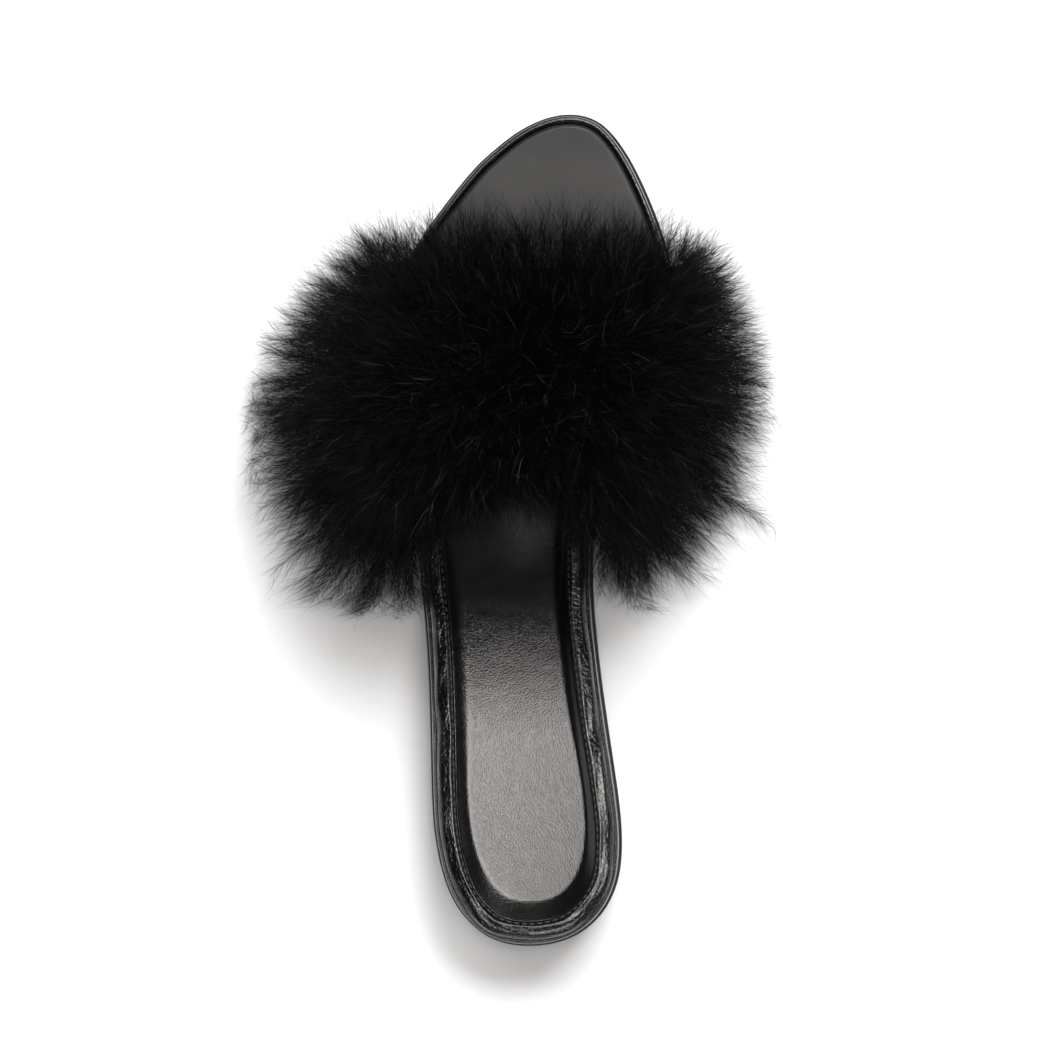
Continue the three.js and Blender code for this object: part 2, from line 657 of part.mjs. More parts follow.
// A named mesh of a finished solid.
function piece(name, made, look) {
  const { numProp, vertProperties, triVerts } = made.getMesh();
  const geometry = new THREE.BufferGeometry();
  geometry.setAttribute("position", new THREE.BufferAttribute(vertProperties, numProp));
  geometry.setIndex(new THREE.BufferAttribute(triVerts, 1));
  const flat = geometry.toNonIndexed();
  flat.computeVertexNormals();
  const mesh = new THREE.Mesh(flat, new THREE.MeshStandardMaterial(look));
  mesh.name = name;
  return mesh;
}

const slipper = new THREE.Group();
slipper.name = "marabou_slipper_left";
slipper.add(
  piece("outsole", outsole(), soleLeather),
  piece("heel_block", heelBlock(), soleLeather),
  piece("heel_top_piece", topPiece(), heelRubber),
  piece("footbed", withPockets(footbed()), blackLeather),
  piece("edge_binding", withPockets(edgeBinding()), blackLeather),
  piece("insole_sock", insoleSock(), insoleLeather),
  piece("vamp_band", vampBand(), blackLeather),
  piece("marabou_trim", marabouTrim(), marabou),
);

export default slipper;
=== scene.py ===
"""The finished look of a flat black marabou slipper for the left foot.

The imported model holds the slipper's sole, band and feather trim at their real size. This script dresses it:
it rolls and stitches the footbed's edge, lays the grained insole sock, shapes the outsole, heel and band
smoothly, and grows the marabou barb by barb. Lengths are in metres. +Y points to the toe, +X to the medial
side and +Z up. A turn on the sole's outline is an angle: 0 at the heel end, pi at the toe tip, the lateral
side between them and the medial side from pi to 2 pi.
"""

import logging
import math
from dataclasses import dataclass, field
from enum import Enum

import bpy
import numpy as np
from mathutils import Matrix, Vector


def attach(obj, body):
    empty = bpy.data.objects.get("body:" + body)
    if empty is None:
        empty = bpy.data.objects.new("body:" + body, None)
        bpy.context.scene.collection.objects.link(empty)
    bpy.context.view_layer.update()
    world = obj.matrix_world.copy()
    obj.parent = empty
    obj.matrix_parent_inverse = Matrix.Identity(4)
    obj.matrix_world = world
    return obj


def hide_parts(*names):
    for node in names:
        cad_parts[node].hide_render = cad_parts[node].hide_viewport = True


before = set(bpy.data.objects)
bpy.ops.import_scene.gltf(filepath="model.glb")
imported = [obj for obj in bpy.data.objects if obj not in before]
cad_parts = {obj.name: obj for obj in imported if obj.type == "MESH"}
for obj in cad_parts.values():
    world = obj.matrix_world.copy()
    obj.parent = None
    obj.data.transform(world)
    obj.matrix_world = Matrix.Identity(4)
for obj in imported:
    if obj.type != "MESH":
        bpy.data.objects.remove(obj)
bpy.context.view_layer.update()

MM = 1e-3
BODY = "root"
GAP = 0.3 * MM

log = logging.getLogger("marabou_slipper")

Colour = tuple[float, float, float]
Number = "Wire | float"


@dataclass(frozen=True, eq=False)
class Wire:
    """One output of a finish's node tree, which works in expressions as a number does.

    Attributes:
        graph: The node tree that new Math nodes go into.
        socket: The output that this wire stands for.
    """

    graph: "Graph"
    socket: bpy.types.NodeSocket

    def __add__(self, other: Number) -> "Wire":
        """Adds."""
        return self.graph.math("ADD", self, other)

    __radd__ = __add__

    def __sub__(self, other: Number) -> "Wire":
        """Subtracts a value from this wire."""
        return self.graph.math("SUBTRACT", self, other)

    def __rsub__(self, other: Number) -> "Wire":
        """Subtracts this wire from a value."""
        return self.graph.math("SUBTRACT", other, self)

    def __mul__(self, other: Number) -> "Wire":
        """Multiplies."""
        return self.graph.math("MULTIPLY", self, other)

    __rmul__ = __mul__

    def between(self, low: float, high: float) -> "Wire":
        """Turns low to high into 0 to 1, smoothly, and holds it there outside."""
        inputs = {"Value": self, "From Min": low, "From Max": high}
        return self.graph.node("ShaderNodeMapRange", inputs, {"interpolation_type": "SMOOTHSTEP"})

    def scaled(self, factor: float | tuple[float, float, float]) -> "Wire":
        """Multiplies this vector, by one factor or one for each axis."""
        factors = factor if isinstance(factor, tuple) else (factor,) * 3
        return self.graph.node("ShaderNodeVectorMath", {0: self, 1: factors}, {"operation": "MULTIPLY"})

    def shifted(self, offset: "Wire") -> "Wire":
        """Adds another vector to this one."""
        return self.graph.node("ShaderNodeVectorMath", {0: self, 1: offset}, {"operation": "ADD"})


class Graph:
    """The node tree of one finish, with its Principled shader."""

    def __init__(self, name: str) -> None:
        """Starts a material with an empty tree.

        Args:
            name: The material's name.
        """
        self.material = bpy.data.materials.new(name)
        self.material.use_nodes = True
        self.tree = self.material.node_tree
        self.tree.nodes.clear()

    def node(
        self,
        kind: str,
        inputs: dict[str | int, object],
        settings: dict[str, object] | None = None,
        output: str | int = 0,
    ) -> Wire | None:
        """Adds one node.

        Args:
            kind: The node's Blender type.
            inputs: Values or wires for its sockets, by name or number.
            settings: What is set on the node first.
            output: The output that the result stands for.

        Returns:
            That output, or None from a node that has none.
        """
        made = self.tree.nodes.new(kind)
        for name, value in (settings or {}).items():
            setattr(made, name, value)
        for name, value in inputs.items():
            if isinstance(value, Wire):
                self.tree.links.new(value.socket, made.inputs[name])
            else:
                made.inputs[name].default_value = value
        return Wire(self, made.outputs[output]) if made.outputs else None

    def math(self, operation: str, first: Number, second: Number) -> Wire:
        """Adds a Math node, with Blender's name for its operation."""
        return self.node("ShaderNodeMath", {0: first, 1: second}, {"operation": operation})

    def place(self) -> Wire:
        """The point on the piece, in metres."""
        return self.node("ShaderNodeTexCoord", {}, output="Object")

    def axis(self, vector: Wire, name: str) -> Wire:
        """One coordinate of a vector."""
        return self.node("ShaderNodeSeparateXYZ", {"Vector": vector}, output=name)

    def noise(self, at: Wire, size: float, detail: float = 2.0, roughness: float = 0.5) -> Wire:
        """Soft noise from 0 to 1, with blotches of a size and so many finer layers."""
        inputs = {"Vector": at, "Scale": 1 / size, "Detail": detail, "Roughness": roughness}
        return self.node("ShaderNodeTexNoise", inputs)

    def bent(self, at: Wire, scale: float, reach: float) -> Wire:
        """A point, moved about by noise."""
        wander = self.node("ShaderNodeTexNoise", {"Vector": at, "Scale": scale}, output="Color")
        return at.shifted(wander.scaled(reach))

    def cells(self, at: Wire, size: float, feature: str = "F1") -> Wire:
        """Distance to the middle of irregular cells, or to what Blender's name for the feature says."""
        inputs = {"Vector": at, "Scale": 1 / size}
        return self.node("ShaderNodeTexVoronoi", inputs, {"feature": feature}, output="Distance")

    def blend(self, share: Number, first: Colour | Wire, second: Colour | Wire) -> Wire:
        """Mixes two colours, by the share of the second."""
        start, end = (colour if isinstance(colour, Wire) else (*colour, 1.0) for colour in (first, second))
        return self.node("ShaderNodeMix", {0: share, 6: start, 7: end}, {"data_type": "RGBA"}, output=2)

    def relief(self, height: Wire, depth: float, under: Wire | None = None) -> Wire:
        """Turns a height, where 1 measures a depth, into a normal that lies on a coarser relief."""
        inputs = {"Height": height, "Distance": depth, "Strength": 1.0}
        return self.node("ShaderNodeBump", inputs | ({"Normal": under} if under else {}))

    def shade(self, inputs: dict[str, object]) -> bpy.types.Material:
        """Finishes the material with a Principled shader."""
        self.node("ShaderNodeOutputMaterial", {"Surface": self.node("ShaderNodeBsdfPrincipled", inputs)})
        return self.material


@dataclass(frozen=True)
class Finish:
    """What every finish has.

    Attributes:
        name: The material's name.
        colour: Its base colour.
        roughness: Its roughness, on average.
    """

    name: str
    colour: Colour
    roughness: float

    def material(self) -> bpy.types.Material:
        """Makes the material."""
        raise NotImplementedError

    def tinted(
        self, graph: Graph, mask: Wire, factors: tuple[float, float], inputs: dict[str, object]
    ) -> bpy.types.Material:
        """Finishes a material whose colour goes from one factor of its own to another with a mask."""
        shades = [tuple(channel * factor for channel in self.colour) for factor in factors]
        return graph.shade({"Base Color": graph.blend(mask, *shades), "Roughness": self.roughness} | inputs)


@dataclass(frozen=True)
class CreasedLeather(Finish):
    """Thin glossy leather that was pulled over an edge and creased finely.

    Attributes:
        crease: Size of the fine creases.
        crease_depth: Depth of the fine creases.
        grain: Size of the grain's cells.
        grain_depth: Depth of the grain.
    """

    crease: float = 1.5 * MM
    crease_depth: float = 0.05 * MM
    grain: float = 0.42 * MM
    grain_depth: float = 0.02 * MM

    def material(self) -> bpy.types.Material:
        """Makes the material.

        Returns:
            The material, with its node tree.
        """
        graph = Graph(self.name)
        at = graph.place()
        bent = graph.bent(at, 400.0, 0.9 * MM)
        creases = graph.cells(bent, self.crease, "DISTANCE_TO_EDGE").between(0.0, 0.16)
        grain = graph.cells(bent, self.grain)
        worn = graph.noise(at, 9 * MM, 3.0)
        inputs = {
            "Roughness": self.roughness + 0.1 * worn + 0.05 * grain,
            "Normal": graph.relief(1 - grain, self.grain_depth, graph.relief(creases, self.crease_depth)),
            "IOR": 2.0,
            "Coat Weight": 0.5,
            "Coat Roughness": 0.12,
        }
        return self.tinted(graph, worn, (0.7, 1.5), inputs)


@dataclass(frozen=True)
class GrainedLeather(Finish):
    """Soft leather with a fine pebbled grain.

    Attributes:
        grain: Size of the grain's cells.
        grain_depth: Depth of the grain.
        swell: Depth of the leather's soft unevenness.
        smoothed: Share of the grain that is pressed flat in front of the heel seat.
        dulled: Roughness that the leather gains at the toe.
        reflection: Its index of refraction.
    """

    grain: float = 0.8 * MM
    grain_depth: float = 0.012 * MM
    swell: float = 0.05 * MM
    smoothed: float = 0.0
    dulled: float = 0.0
    reflection: float = 1.5

    def material(self) -> bpy.types.Material:
        """Makes the material.

        Returns:
            The material, with its node tree.
        """
        graph = Graph(self.name)
        at = graph.place()
        bent = graph.bent(at, 700.0, 0.5 * MM)
        pebbles = graph.cells(bent, self.grain, "DISTANCE_TO_EDGE").between(0.0, 0.35)
        pores = graph.cells(at, 0.3 * self.grain)
        cloud = graph.noise(at, 14 * MM, 3.0)
        forward = graph.axis(at, "Y")
        arch = self.smoothed * forward.between(0.035, 0.085)
        swell = graph.relief(graph.noise(at, 6 * MM), self.swell)
        toe = self.dulled * forward.between(0.11, 0.17)
        inputs = {
            "Roughness": self.roughness + 0.06 * cloud - 0.08 * arch + toe,
            "Normal": graph.relief((pebbles * 0.8 + pores * 0.2) * (1 - arch), self.grain_depth, swell),
            "IOR": self.reflection,
        }
        return self.tinted(graph, cloud, (0.85, 1.15), inputs)


@dataclass(frozen=True)
class SoleLeather(Finish):
    """Painted sole leather whose layers and scuffs show a little.

    Attributes:
        layer: Height of a layer.
        depth: Depth of the relief.
    """

    layer: float = 0.5 * MM
    depth: float = 0.04 * MM

    def material(self) -> bpy.types.Material:
        """Makes the material.

        Returns:
            The material, with its node tree.
        """
        graph = Graph(self.name)
        at = graph.place()
        layers = graph.noise(at.scaled((0.06, 0.06, 1.0)), self.layer)
        scuffs = graph.noise(at.scaled((1.0, 0.3, 1.0)), 2.5 * MM, 5.0, 0.65)
        normal = graph.relief(layers * 0.6 + scuffs * 0.4, self.depth)
        inputs = {"Roughness": self.roughness + 0.2 * scuffs, "Normal": normal}
        return self.tinted(graph, scuffs, (0.75, 1.4), inputs)


@dataclass(frozen=True)
class Rubber(Finish):
    """Moulded rubber with a fine stipple.

    Attributes:
        stipple: Size of the stipple.
        depth: Depth of the stipple.
    """

    stipple: float = 0.5 * MM
    depth: float = 0.05 * MM

    def material(self) -> bpy.types.Material:
        """Makes the material.

        Returns:
            The material, with its node tree.
        """
        graph = Graph(self.name)
        at = graph.place()
        dust = graph.noise(at, 5 * MM, 4.0)
        normal = graph.relief(graph.cells(at, self.stipple), self.depth)
        inputs = {"Roughness": self.roughness + 0.1 * dust, "Normal": normal}
        return self.tinted(graph, dust, (0.8, 1.6), inputs)


@dataclass(frozen=True)
class Fibres(Finish):
    """Fibres whose colour and relief follow one noise.

    Attributes:
        strand: Size of the noise's blotches.
        depth: Depth of the relief.
        factors: Factors of the darkest and the lightest colour.
        detail: How many finer layers the noise has.
        fuzz: How strong those layers are.
        specular: Strength of the plain reflection.
    """

    strand: float
    depth: float
    factors: tuple[float, float]
    detail: float = 1.0
    fuzz: float = 0.5
    specular: float = 0.5

    def material(self) -> bpy.types.Material:
        """Makes the material.

        Returns:
            The material, with its node tree.
        """
        graph = Graph(self.name)
        strands = graph.noise(graph.place(), self.strand, self.detail, self.fuzz)
        inputs = {"Normal": graph.relief(strands, self.depth), "Specular IOR Level": self.specular}
        return self.tinted(graph, strands, self.factors, inputs)


@dataclass(frozen=True)
class Feather(Finish):
    """Dyed marabou barbs. The UV map holds a barb's lightness across and the place from root to tip along.
    The lightness is partly painted light, which rises towards the flanks, and partly random tone.

    Attributes:
        tip: Colour at the tip of a barb of full lightness; tips lighten towards it with the painted light on
            the flanks.
        painted_glint: Colour of the few barbs painted as glints, a painted highlight.
    """

    # Painted light: the lighter tip colour stands in for light on the flanks.
    tip: Colour = (0.0195, 0.0198, 0.0212)
    # Painted highlight: the colour of the few barbs painted as glints.
    painted_glint: Colour = (0.045, 0.045, 0.045)

    def material(self) -> bpy.types.Material:
        """Makes the material.

        Returns:
            The material, with its node tree.
        """
        graph = Graph(self.name)
        uv = graph.node("ShaderNodeUVMap", {}, {"uv_map": Barbs.UV_MAP})
        lightness, along = graph.axis(uv, "X"), graph.axis(uv, "Y")
        # Painted light: a barb lightens from root to tip by its lightness, which is higher towards the
        # flanks, plus random tone.
        body = graph.blend(along.between(0.1, 0.9) * lightness, self.colour, self.tip)
        return graph.shade(
            {
                # The barbs of top lightness take the painted glint colour, a painted highlight.
                "Base Color": graph.blend(lightness.between(0.97, 0.99), body, self.painted_glint),
                "Roughness": self.roughness - 0.1 * lightness,
                "Specular IOR Level": 0.05,
            }
        )


@dataclass(frozen=True)
class Floor(Finish):
    """The studio's white floor."""

    def material(self) -> bpy.types.Material:
        """Makes the material."""
        return Graph(self.name).shade({"Base Color": (*self.colour, 1.0), "Roughness": self.roughness})


BINDING_LEATHER = CreasedLeather(
    "binding_leather", (0.002, 0.0019, 0.0019), 0.15, crease_depth=0.035 * MM, grain_depth=0.03 * MM
)
SOCK_LEATHER = GrainedLeather(
    "sock_leather",
    (0.004, 0.0039, 0.0038),
    0.17,
    grain=0.7 * MM,
    grain_depth=0.022 * MM,
    smoothed=0.75,
    dulled=0.32,
    reflection=2.0,
)
BAND_LEATHER = CreasedLeather("band_leather", (0.012, 0.011, 0.012), 0.34, crease_depth=0.05 * MM)
LINING_LEATHER = GrainedLeather("lining_leather", (0.02, 0.019, 0.019), 0.45)
SOLE_LEATHER = SoleLeather("sole_leather", (0.012, 0.012, 0.013), 0.3)
FOOTBED_BOARD = GrainedLeather("footbed_board", (0.022, 0.021, 0.02), 0.7, grain=1.2 * MM)
HEEL_RUBBER = Rubber("heel_rubber", (0.012, 0.012, 0.012), 0.6)
# The thread is black, but its colour is set lighter than that as a painted sheen, standing in for the light
# that the stitches catch.
BLACK_THREAD = Fibres(
    "black_thread", (0.05, 0.048, 0.047), 0.3, strand=0.25 * MM, depth=0.05 * MM, factors=(0.6, 1.4)
)
BLACK_DOWN = Fibres(
    "black_down",
    (0.0008, 0.0008, 0.0009),
    0.95,
    strand=1.2 * MM,
    depth=0.8 * MM,
    factors=(0.5, 1.5),
    detail=4.0,
    fuzz=0.7,
    specular=0.03,
)
MARABOU = Feather("marabou_barbs", (0.0008, 0.0008, 0.0009), 0.6)
WHITE_FLOOR = Floor("studio_floor", (0.9, 0.9, 0.9), 0.9)


def make_piece(
    name: str,
    points: np.ndarray,
    faces: np.ndarray,
    finish: Finish,
    nodes: tuple[str, ...] = (),
    smooth: bool = True,
) -> bpy.types.Object:
    """Makes one piece of the slipper.

    Args:
        name: The piece's name.
        points: Its vertices, one a row.
        faces: Vertex numbers of its faces, one face a row, all with as many corners.
        finish: What its surface is made of.
        nodes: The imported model's nodes that it replaces.
        smooth: Whether it is shaded smooth.

    Returns:
        The piece, riding on the slipper's body.
    """
    mesh = bpy.data.meshes.new(name)
    corners = faces.shape[1]
    mesh.vertices.add(len(points))
    mesh.vertices.foreach_set("co", points.astype(np.float32).ravel())
    mesh.loops.add(faces.size)
    mesh.loops.foreach_set("vertex_index", faces.astype(np.int32).ravel())
    mesh.polygons.add(len(faces))
    mesh.polygons.foreach_set("loop_start", np.arange(0, faces.size, corners, dtype=np.int32))
    mesh.update(calc_edges=True)
    mesh.polygons.foreach_set("use_smooth", np.full(len(faces), smooth))
    mesh.materials.append(finish.material())
    piece = bpy.data.objects.new(name, mesh)
    bpy.context.scene.collection.objects.link(piece)
    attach(piece, BODY)
    if nodes:
        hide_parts(*nodes)
    return piece


def grid_faces(rows: int, columns: int, wrap_rows: bool = False, wrap_columns: bool = False) -> np.ndarray:
    """The quads of a grid of vertices.

    Args:
        rows: Number of rows.
        columns: Number of columns.
        wrap_rows: Whether the last row joins the first.
        wrap_columns: Whether the last column joins the first.

    Returns:
        One quad a row.
    """
    row, column = np.meshgrid(
        np.arange(rows if wrap_rows else rows - 1),
        np.arange(columns if wrap_columns else columns - 1),
        indexing="ij",
    )
    below, beside = (row + 1) % rows, (column + 1) % columns
    corners = ((row, column), (row, beside), (below, beside), (below, column))
    return np.stack([(down * columns + across).ravel() for down, across in corners], axis=1)


def join_ends(near: np.ndarray, far: np.ndarray) -> np.ndarray:
    """Quads between two rows of vertex numbers."""
    return np.stack([near[:-1], near[1:], far[1:], far[:-1]], axis=1)


def unit(vectors: np.ndarray) -> np.ndarray:
    """Scales vectors, one a row, to length 1."""
    return vectors / np.maximum(np.linalg.norm(vectors, axis=-1, keepdims=True), 1e-12)


def travelled(points: np.ndarray) -> np.ndarray:
    """Distance along a row of points, from the first to each."""
    return np.concatenate([[0.0], np.cumsum(np.linalg.norm(np.diff(points, axis=0), axis=1))])


def ease(value: np.ndarray, low: float, high: float) -> np.ndarray:
    """Turns low to high into 0 to 1, smoothly, and holds it there outside."""
    share = np.clip((value - low) / (high - low), 0, 1)
    return share * share * (3 - 2 * share)


@dataclass(frozen=True)
class Curve:
    """A smooth curve through points.

    Attributes:
        places: Where the points are, in order.
        values: Their values.
    """

    places: np.ndarray
    values: np.ndarray

    @classmethod
    def of(cls, rows: tuple, place: str, value: str) -> "Curve":
        """Reads the columns of places and values from a table's rows."""
        return cls(*(np.array([getattr(row, name) for row in rows]) for name in (place, value)))

    def __call__(self, place: np.ndarray) -> np.ndarray:
        """Reads the curve.

        Args:
            place: Where it is read.

        Returns:
            The values there.
        """
        slopes = np.gradient(self.values, self.places)
        last = len(self.places) - 2
        index = np.clip(np.searchsorted(self.places, place) - 1, 0, last)
        span = self.places[index + 1] - self.places[index]
        share = np.clip((place - self.places[index]) / span, 0, 1)
        step = share * share * (3 - 2 * share)
        enter = share * (1 - share) ** 2 * slopes[index]
        leave = share**2 * (1 - share) * slopes[index + 1]
        start = self.values[index]
        return start + step * (self.values[index + 1] - start) + span * (enter - leave)


@dataclass(frozen=True)
class Ripples:
    """Smooth random waves over a plane or a space, from about -1 to 1.

    Attributes:
        seed: Seed of the waves.
        lengths: Wavelength along each coordinate.
        count: Number of waves.
    """

    seed: int
    lengths: tuple[float, ...]
    count: int = 28

    def __call__(self, *coordinates: np.ndarray) -> np.ndarray:
        """Reads the waves.

        Args:
            coordinates: One array for each coordinate.

        Returns:
            The height of the waves.
        """
        draw = np.random.default_rng(self.seed)
        height = np.zeros(np.broadcast(*coordinates).shape)
        for _ in range(self.count):
            heading = unit(draw.normal(size=len(self.lengths))) * draw.uniform(0.6, 1.5)
            phase = draw.uniform(0, 2 * math.pi)
            parts = zip(heading, coordinates, self.lengths)
            height += np.cos(sum(2 * math.pi * turn * at / length for turn, at, length in parts) + phase)
        return height / math.sqrt(self.count)


@dataclass
class SolePlan:
    """The sole's outline and the rise of its underside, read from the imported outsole.

    Attributes:
        outsole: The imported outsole.
        bevelled: Height between the outline's two loops, under the outsole's thickness.
        smoothing: Length over which the underside's bends are eased.
    """

    outsole: bpy.types.Object
    bevelled: float = 2.4 * MM
    smoothing: float = 5 * MM
    back: float = field(init=False)
    length: float = field(init=False)
    across: Curve = field(init=False)
    underside: Curve = field(init=False)

    def __post_init__(self) -> None:
        """Sorts the outsole's corners into its outline and its underside."""
        found: dict[tuple[float, float], list[float]] = {}
        for vertex in self.outsole.data.vertices:
            key = (round(vertex.co.x, 6), round(vertex.co.y, 6))
            found.setdefault(key, []).append(vertex.co.z)
        spread = {key: max(heights) - min(heights) for key, heights in found.items()}
        edge = np.array([key for key, height in spread.items() if 1e-4 < height < self.bevelled])
        floor = np.array([(key[1], min(found[key])) for key, h in spread.items() if h >= self.bevelled])
        self.back = edge[:, 1].min()
        self.length = edge[:, 1].max() - self.back
        self.underside = self._smoothed(Curve(*self._sorted(*floor.T)))
        self.across = self._outline(edge)

    @staticmethod
    def _sorted(places: np.ndarray, values: np.ndarray, gap: float = 5e-4) -> tuple[np.ndarray, np.ndarray]:
        """Sorts points by place and joins those that share one.

        Args:
            places: Where the points are.
            values: Their values.
            gap: How near they are to share a place.

        Returns:
            The sorted places and values.
        """
        order = np.argsort(places)
        places, values = places[order], values[order]
        kept = np.concatenate([[True], np.diff(places) > gap])
        return places[kept], values[kept]

    def _smoothed(self, curve: Curve) -> Curve:
        """Takes the kinks between the corners out of the underside.

        Args:
            curve: The underside through the outsole's corners.

        Returns:
            The smooth underside.
        """
        step = 1 * MM
        reach = np.arange(-15, 16)
        places = np.arange(self.back, self.back + self.length + step, step)
        padded = np.arange(places[0] - 15 * step, places[-1] + 15.5 * step, step)
        inside = np.clip(padded, curve.places[0], curve.places[-1])
        slope = (curve(curve.places[-1:]) - curve(curve.places[-1:] - step)) / step
        heights = curve(inside) + (padded - inside) * (padded > curve.places[-1]) * slope
        weights = np.exp(-0.5 * (reach * step / self.smoothing) ** 2)
        return Curve(places, np.convolve(heights, weights / weights.sum(), "valid")[: len(places)])

    def _outline(self, edge: np.ndarray) -> Curve:
        """Puts the outline's corners in order of their turn.

        Args:
            edge: Their x and y.

        Returns:
            The outline's x by turn, over more than one round.
        """
        angle = np.arccos(np.clip(1 - 2 * (edge[:, 1] - self.back) / self.length, -1, 1))
        turns, xs = [], []
        for low in self._sorted(angle, angle)[0]:
            pair = edge[np.abs(angle - low) < 1e-3][:, 0]
            turns += [low, 2 * math.pi - low]
            xs += [pair.min(), pair.max()]
        turns, xs = np.array(turns), np.array(xs)
        once = turns < 2 * math.pi - 1e-3
        turns, xs = self._sorted(turns[once], xs[once], 1e-3)
        rounds = np.array([[-1], [0], [1]]) * 2 * math.pi
        return Curve((turns + rounds).ravel(), np.tile(xs, 3))

    def along(self, y: np.ndarray) -> np.ndarray:
        """A place's share of the sole's length, from the heel end."""
        return np.clip((y - self.back) / self.length, 0, 1)

    def rise(self, y: np.ndarray) -> np.ndarray:
        """Height of the outsole's underside."""
        return np.maximum(self.underside(np.clip(y, self.underside.places[0], self.underside.places[-1])), 0)

    def edge(self, turn: np.ndarray, inset: np.ndarray | float = 0.0) -> np.ndarray:
        """Points on the outline, or inside it.

        Args:
            turn: Turns round the outline.
            inset: How far the points lie inside the outline.

        Returns:
            Their x and y.
        """
        step = 1e-3
        heading = unit(self._point(turn + step) - self._point(turn - step))
        inward = np.stack([heading[..., 1], -heading[..., 0]], axis=-1)
        return self._point(turn) + inward * np.asarray(inset)[..., None]

    def _point(self, turn: np.ndarray) -> np.ndarray:
        """Points on the outline."""
        y = self.back + self.length * (1 - np.cos(turn)) / 2
        return np.stack([self.across(turn % (2 * math.pi)), y], axis=-1)

    def turns(self, count: int) -> np.ndarray:
        """An even number of turns round the whole outline, from the heel end."""
        return np.arange(count) * 2 * math.pi / count

    def sides(self, y: np.ndarray) -> tuple[np.ndarray, np.ndarray]:
        """The outline's lateral and medial x at places along the sole."""
        angle = np.arccos(1 - 2 * self.along(y))
        return self.across(angle), self.across(2 * math.pi - angle)


@dataclass(frozen=True)
class EdgeRow:
    """How the footbed's edge is at a place along the sole.

    Attributes:
        along: The place, as a share of the sole's length.
        roll: 1 for the stitched roll, 0 for the plain roll round the toe.
        cup: How far the sock is cupped.
        lateral: Width of the sock's climb to the roll on the lateral side.
        medial: Its width on the medial side.
    """

    along: float
    roll: float
    cup: float
    lateral: float
    medial: float


EDGE_ROWS = (
    EdgeRow(along=0.0, roll=1.0, cup=1.0, lateral=8.6 * MM, medial=8.6 * MM),
    EdgeRow(along=0.06, roll=1.0, cup=1.0, lateral=6.3 * MM, medial=5.8 * MM),
    EdgeRow(along=0.12, roll=1.0, cup=1.0, lateral=4.2 * MM, medial=3.2 * MM),
    EdgeRow(along=0.18, roll=1.0, cup=0.9, lateral=3.6 * MM, medial=2.3 * MM),
    EdgeRow(along=0.3, roll=1.0, cup=0.8, lateral=4.8 * MM, medial=3.4 * MM),
    EdgeRow(along=0.6, roll=1.0, cup=0.5, lateral=4.4 * MM, medial=4.0 * MM),
    EdgeRow(along=0.68, roll=0.9, cup=0.4, lateral=3.2 * MM, medial=3.2 * MM),
    EdgeRow(along=0.84, roll=0.0, cup=0.0, lateral=3.2 * MM, medial=3.2 * MM),
    EdgeRow(along=1.0, roll=0.0, cup=0.0, lateral=3.2 * MM, medial=3.2 * MM),
)


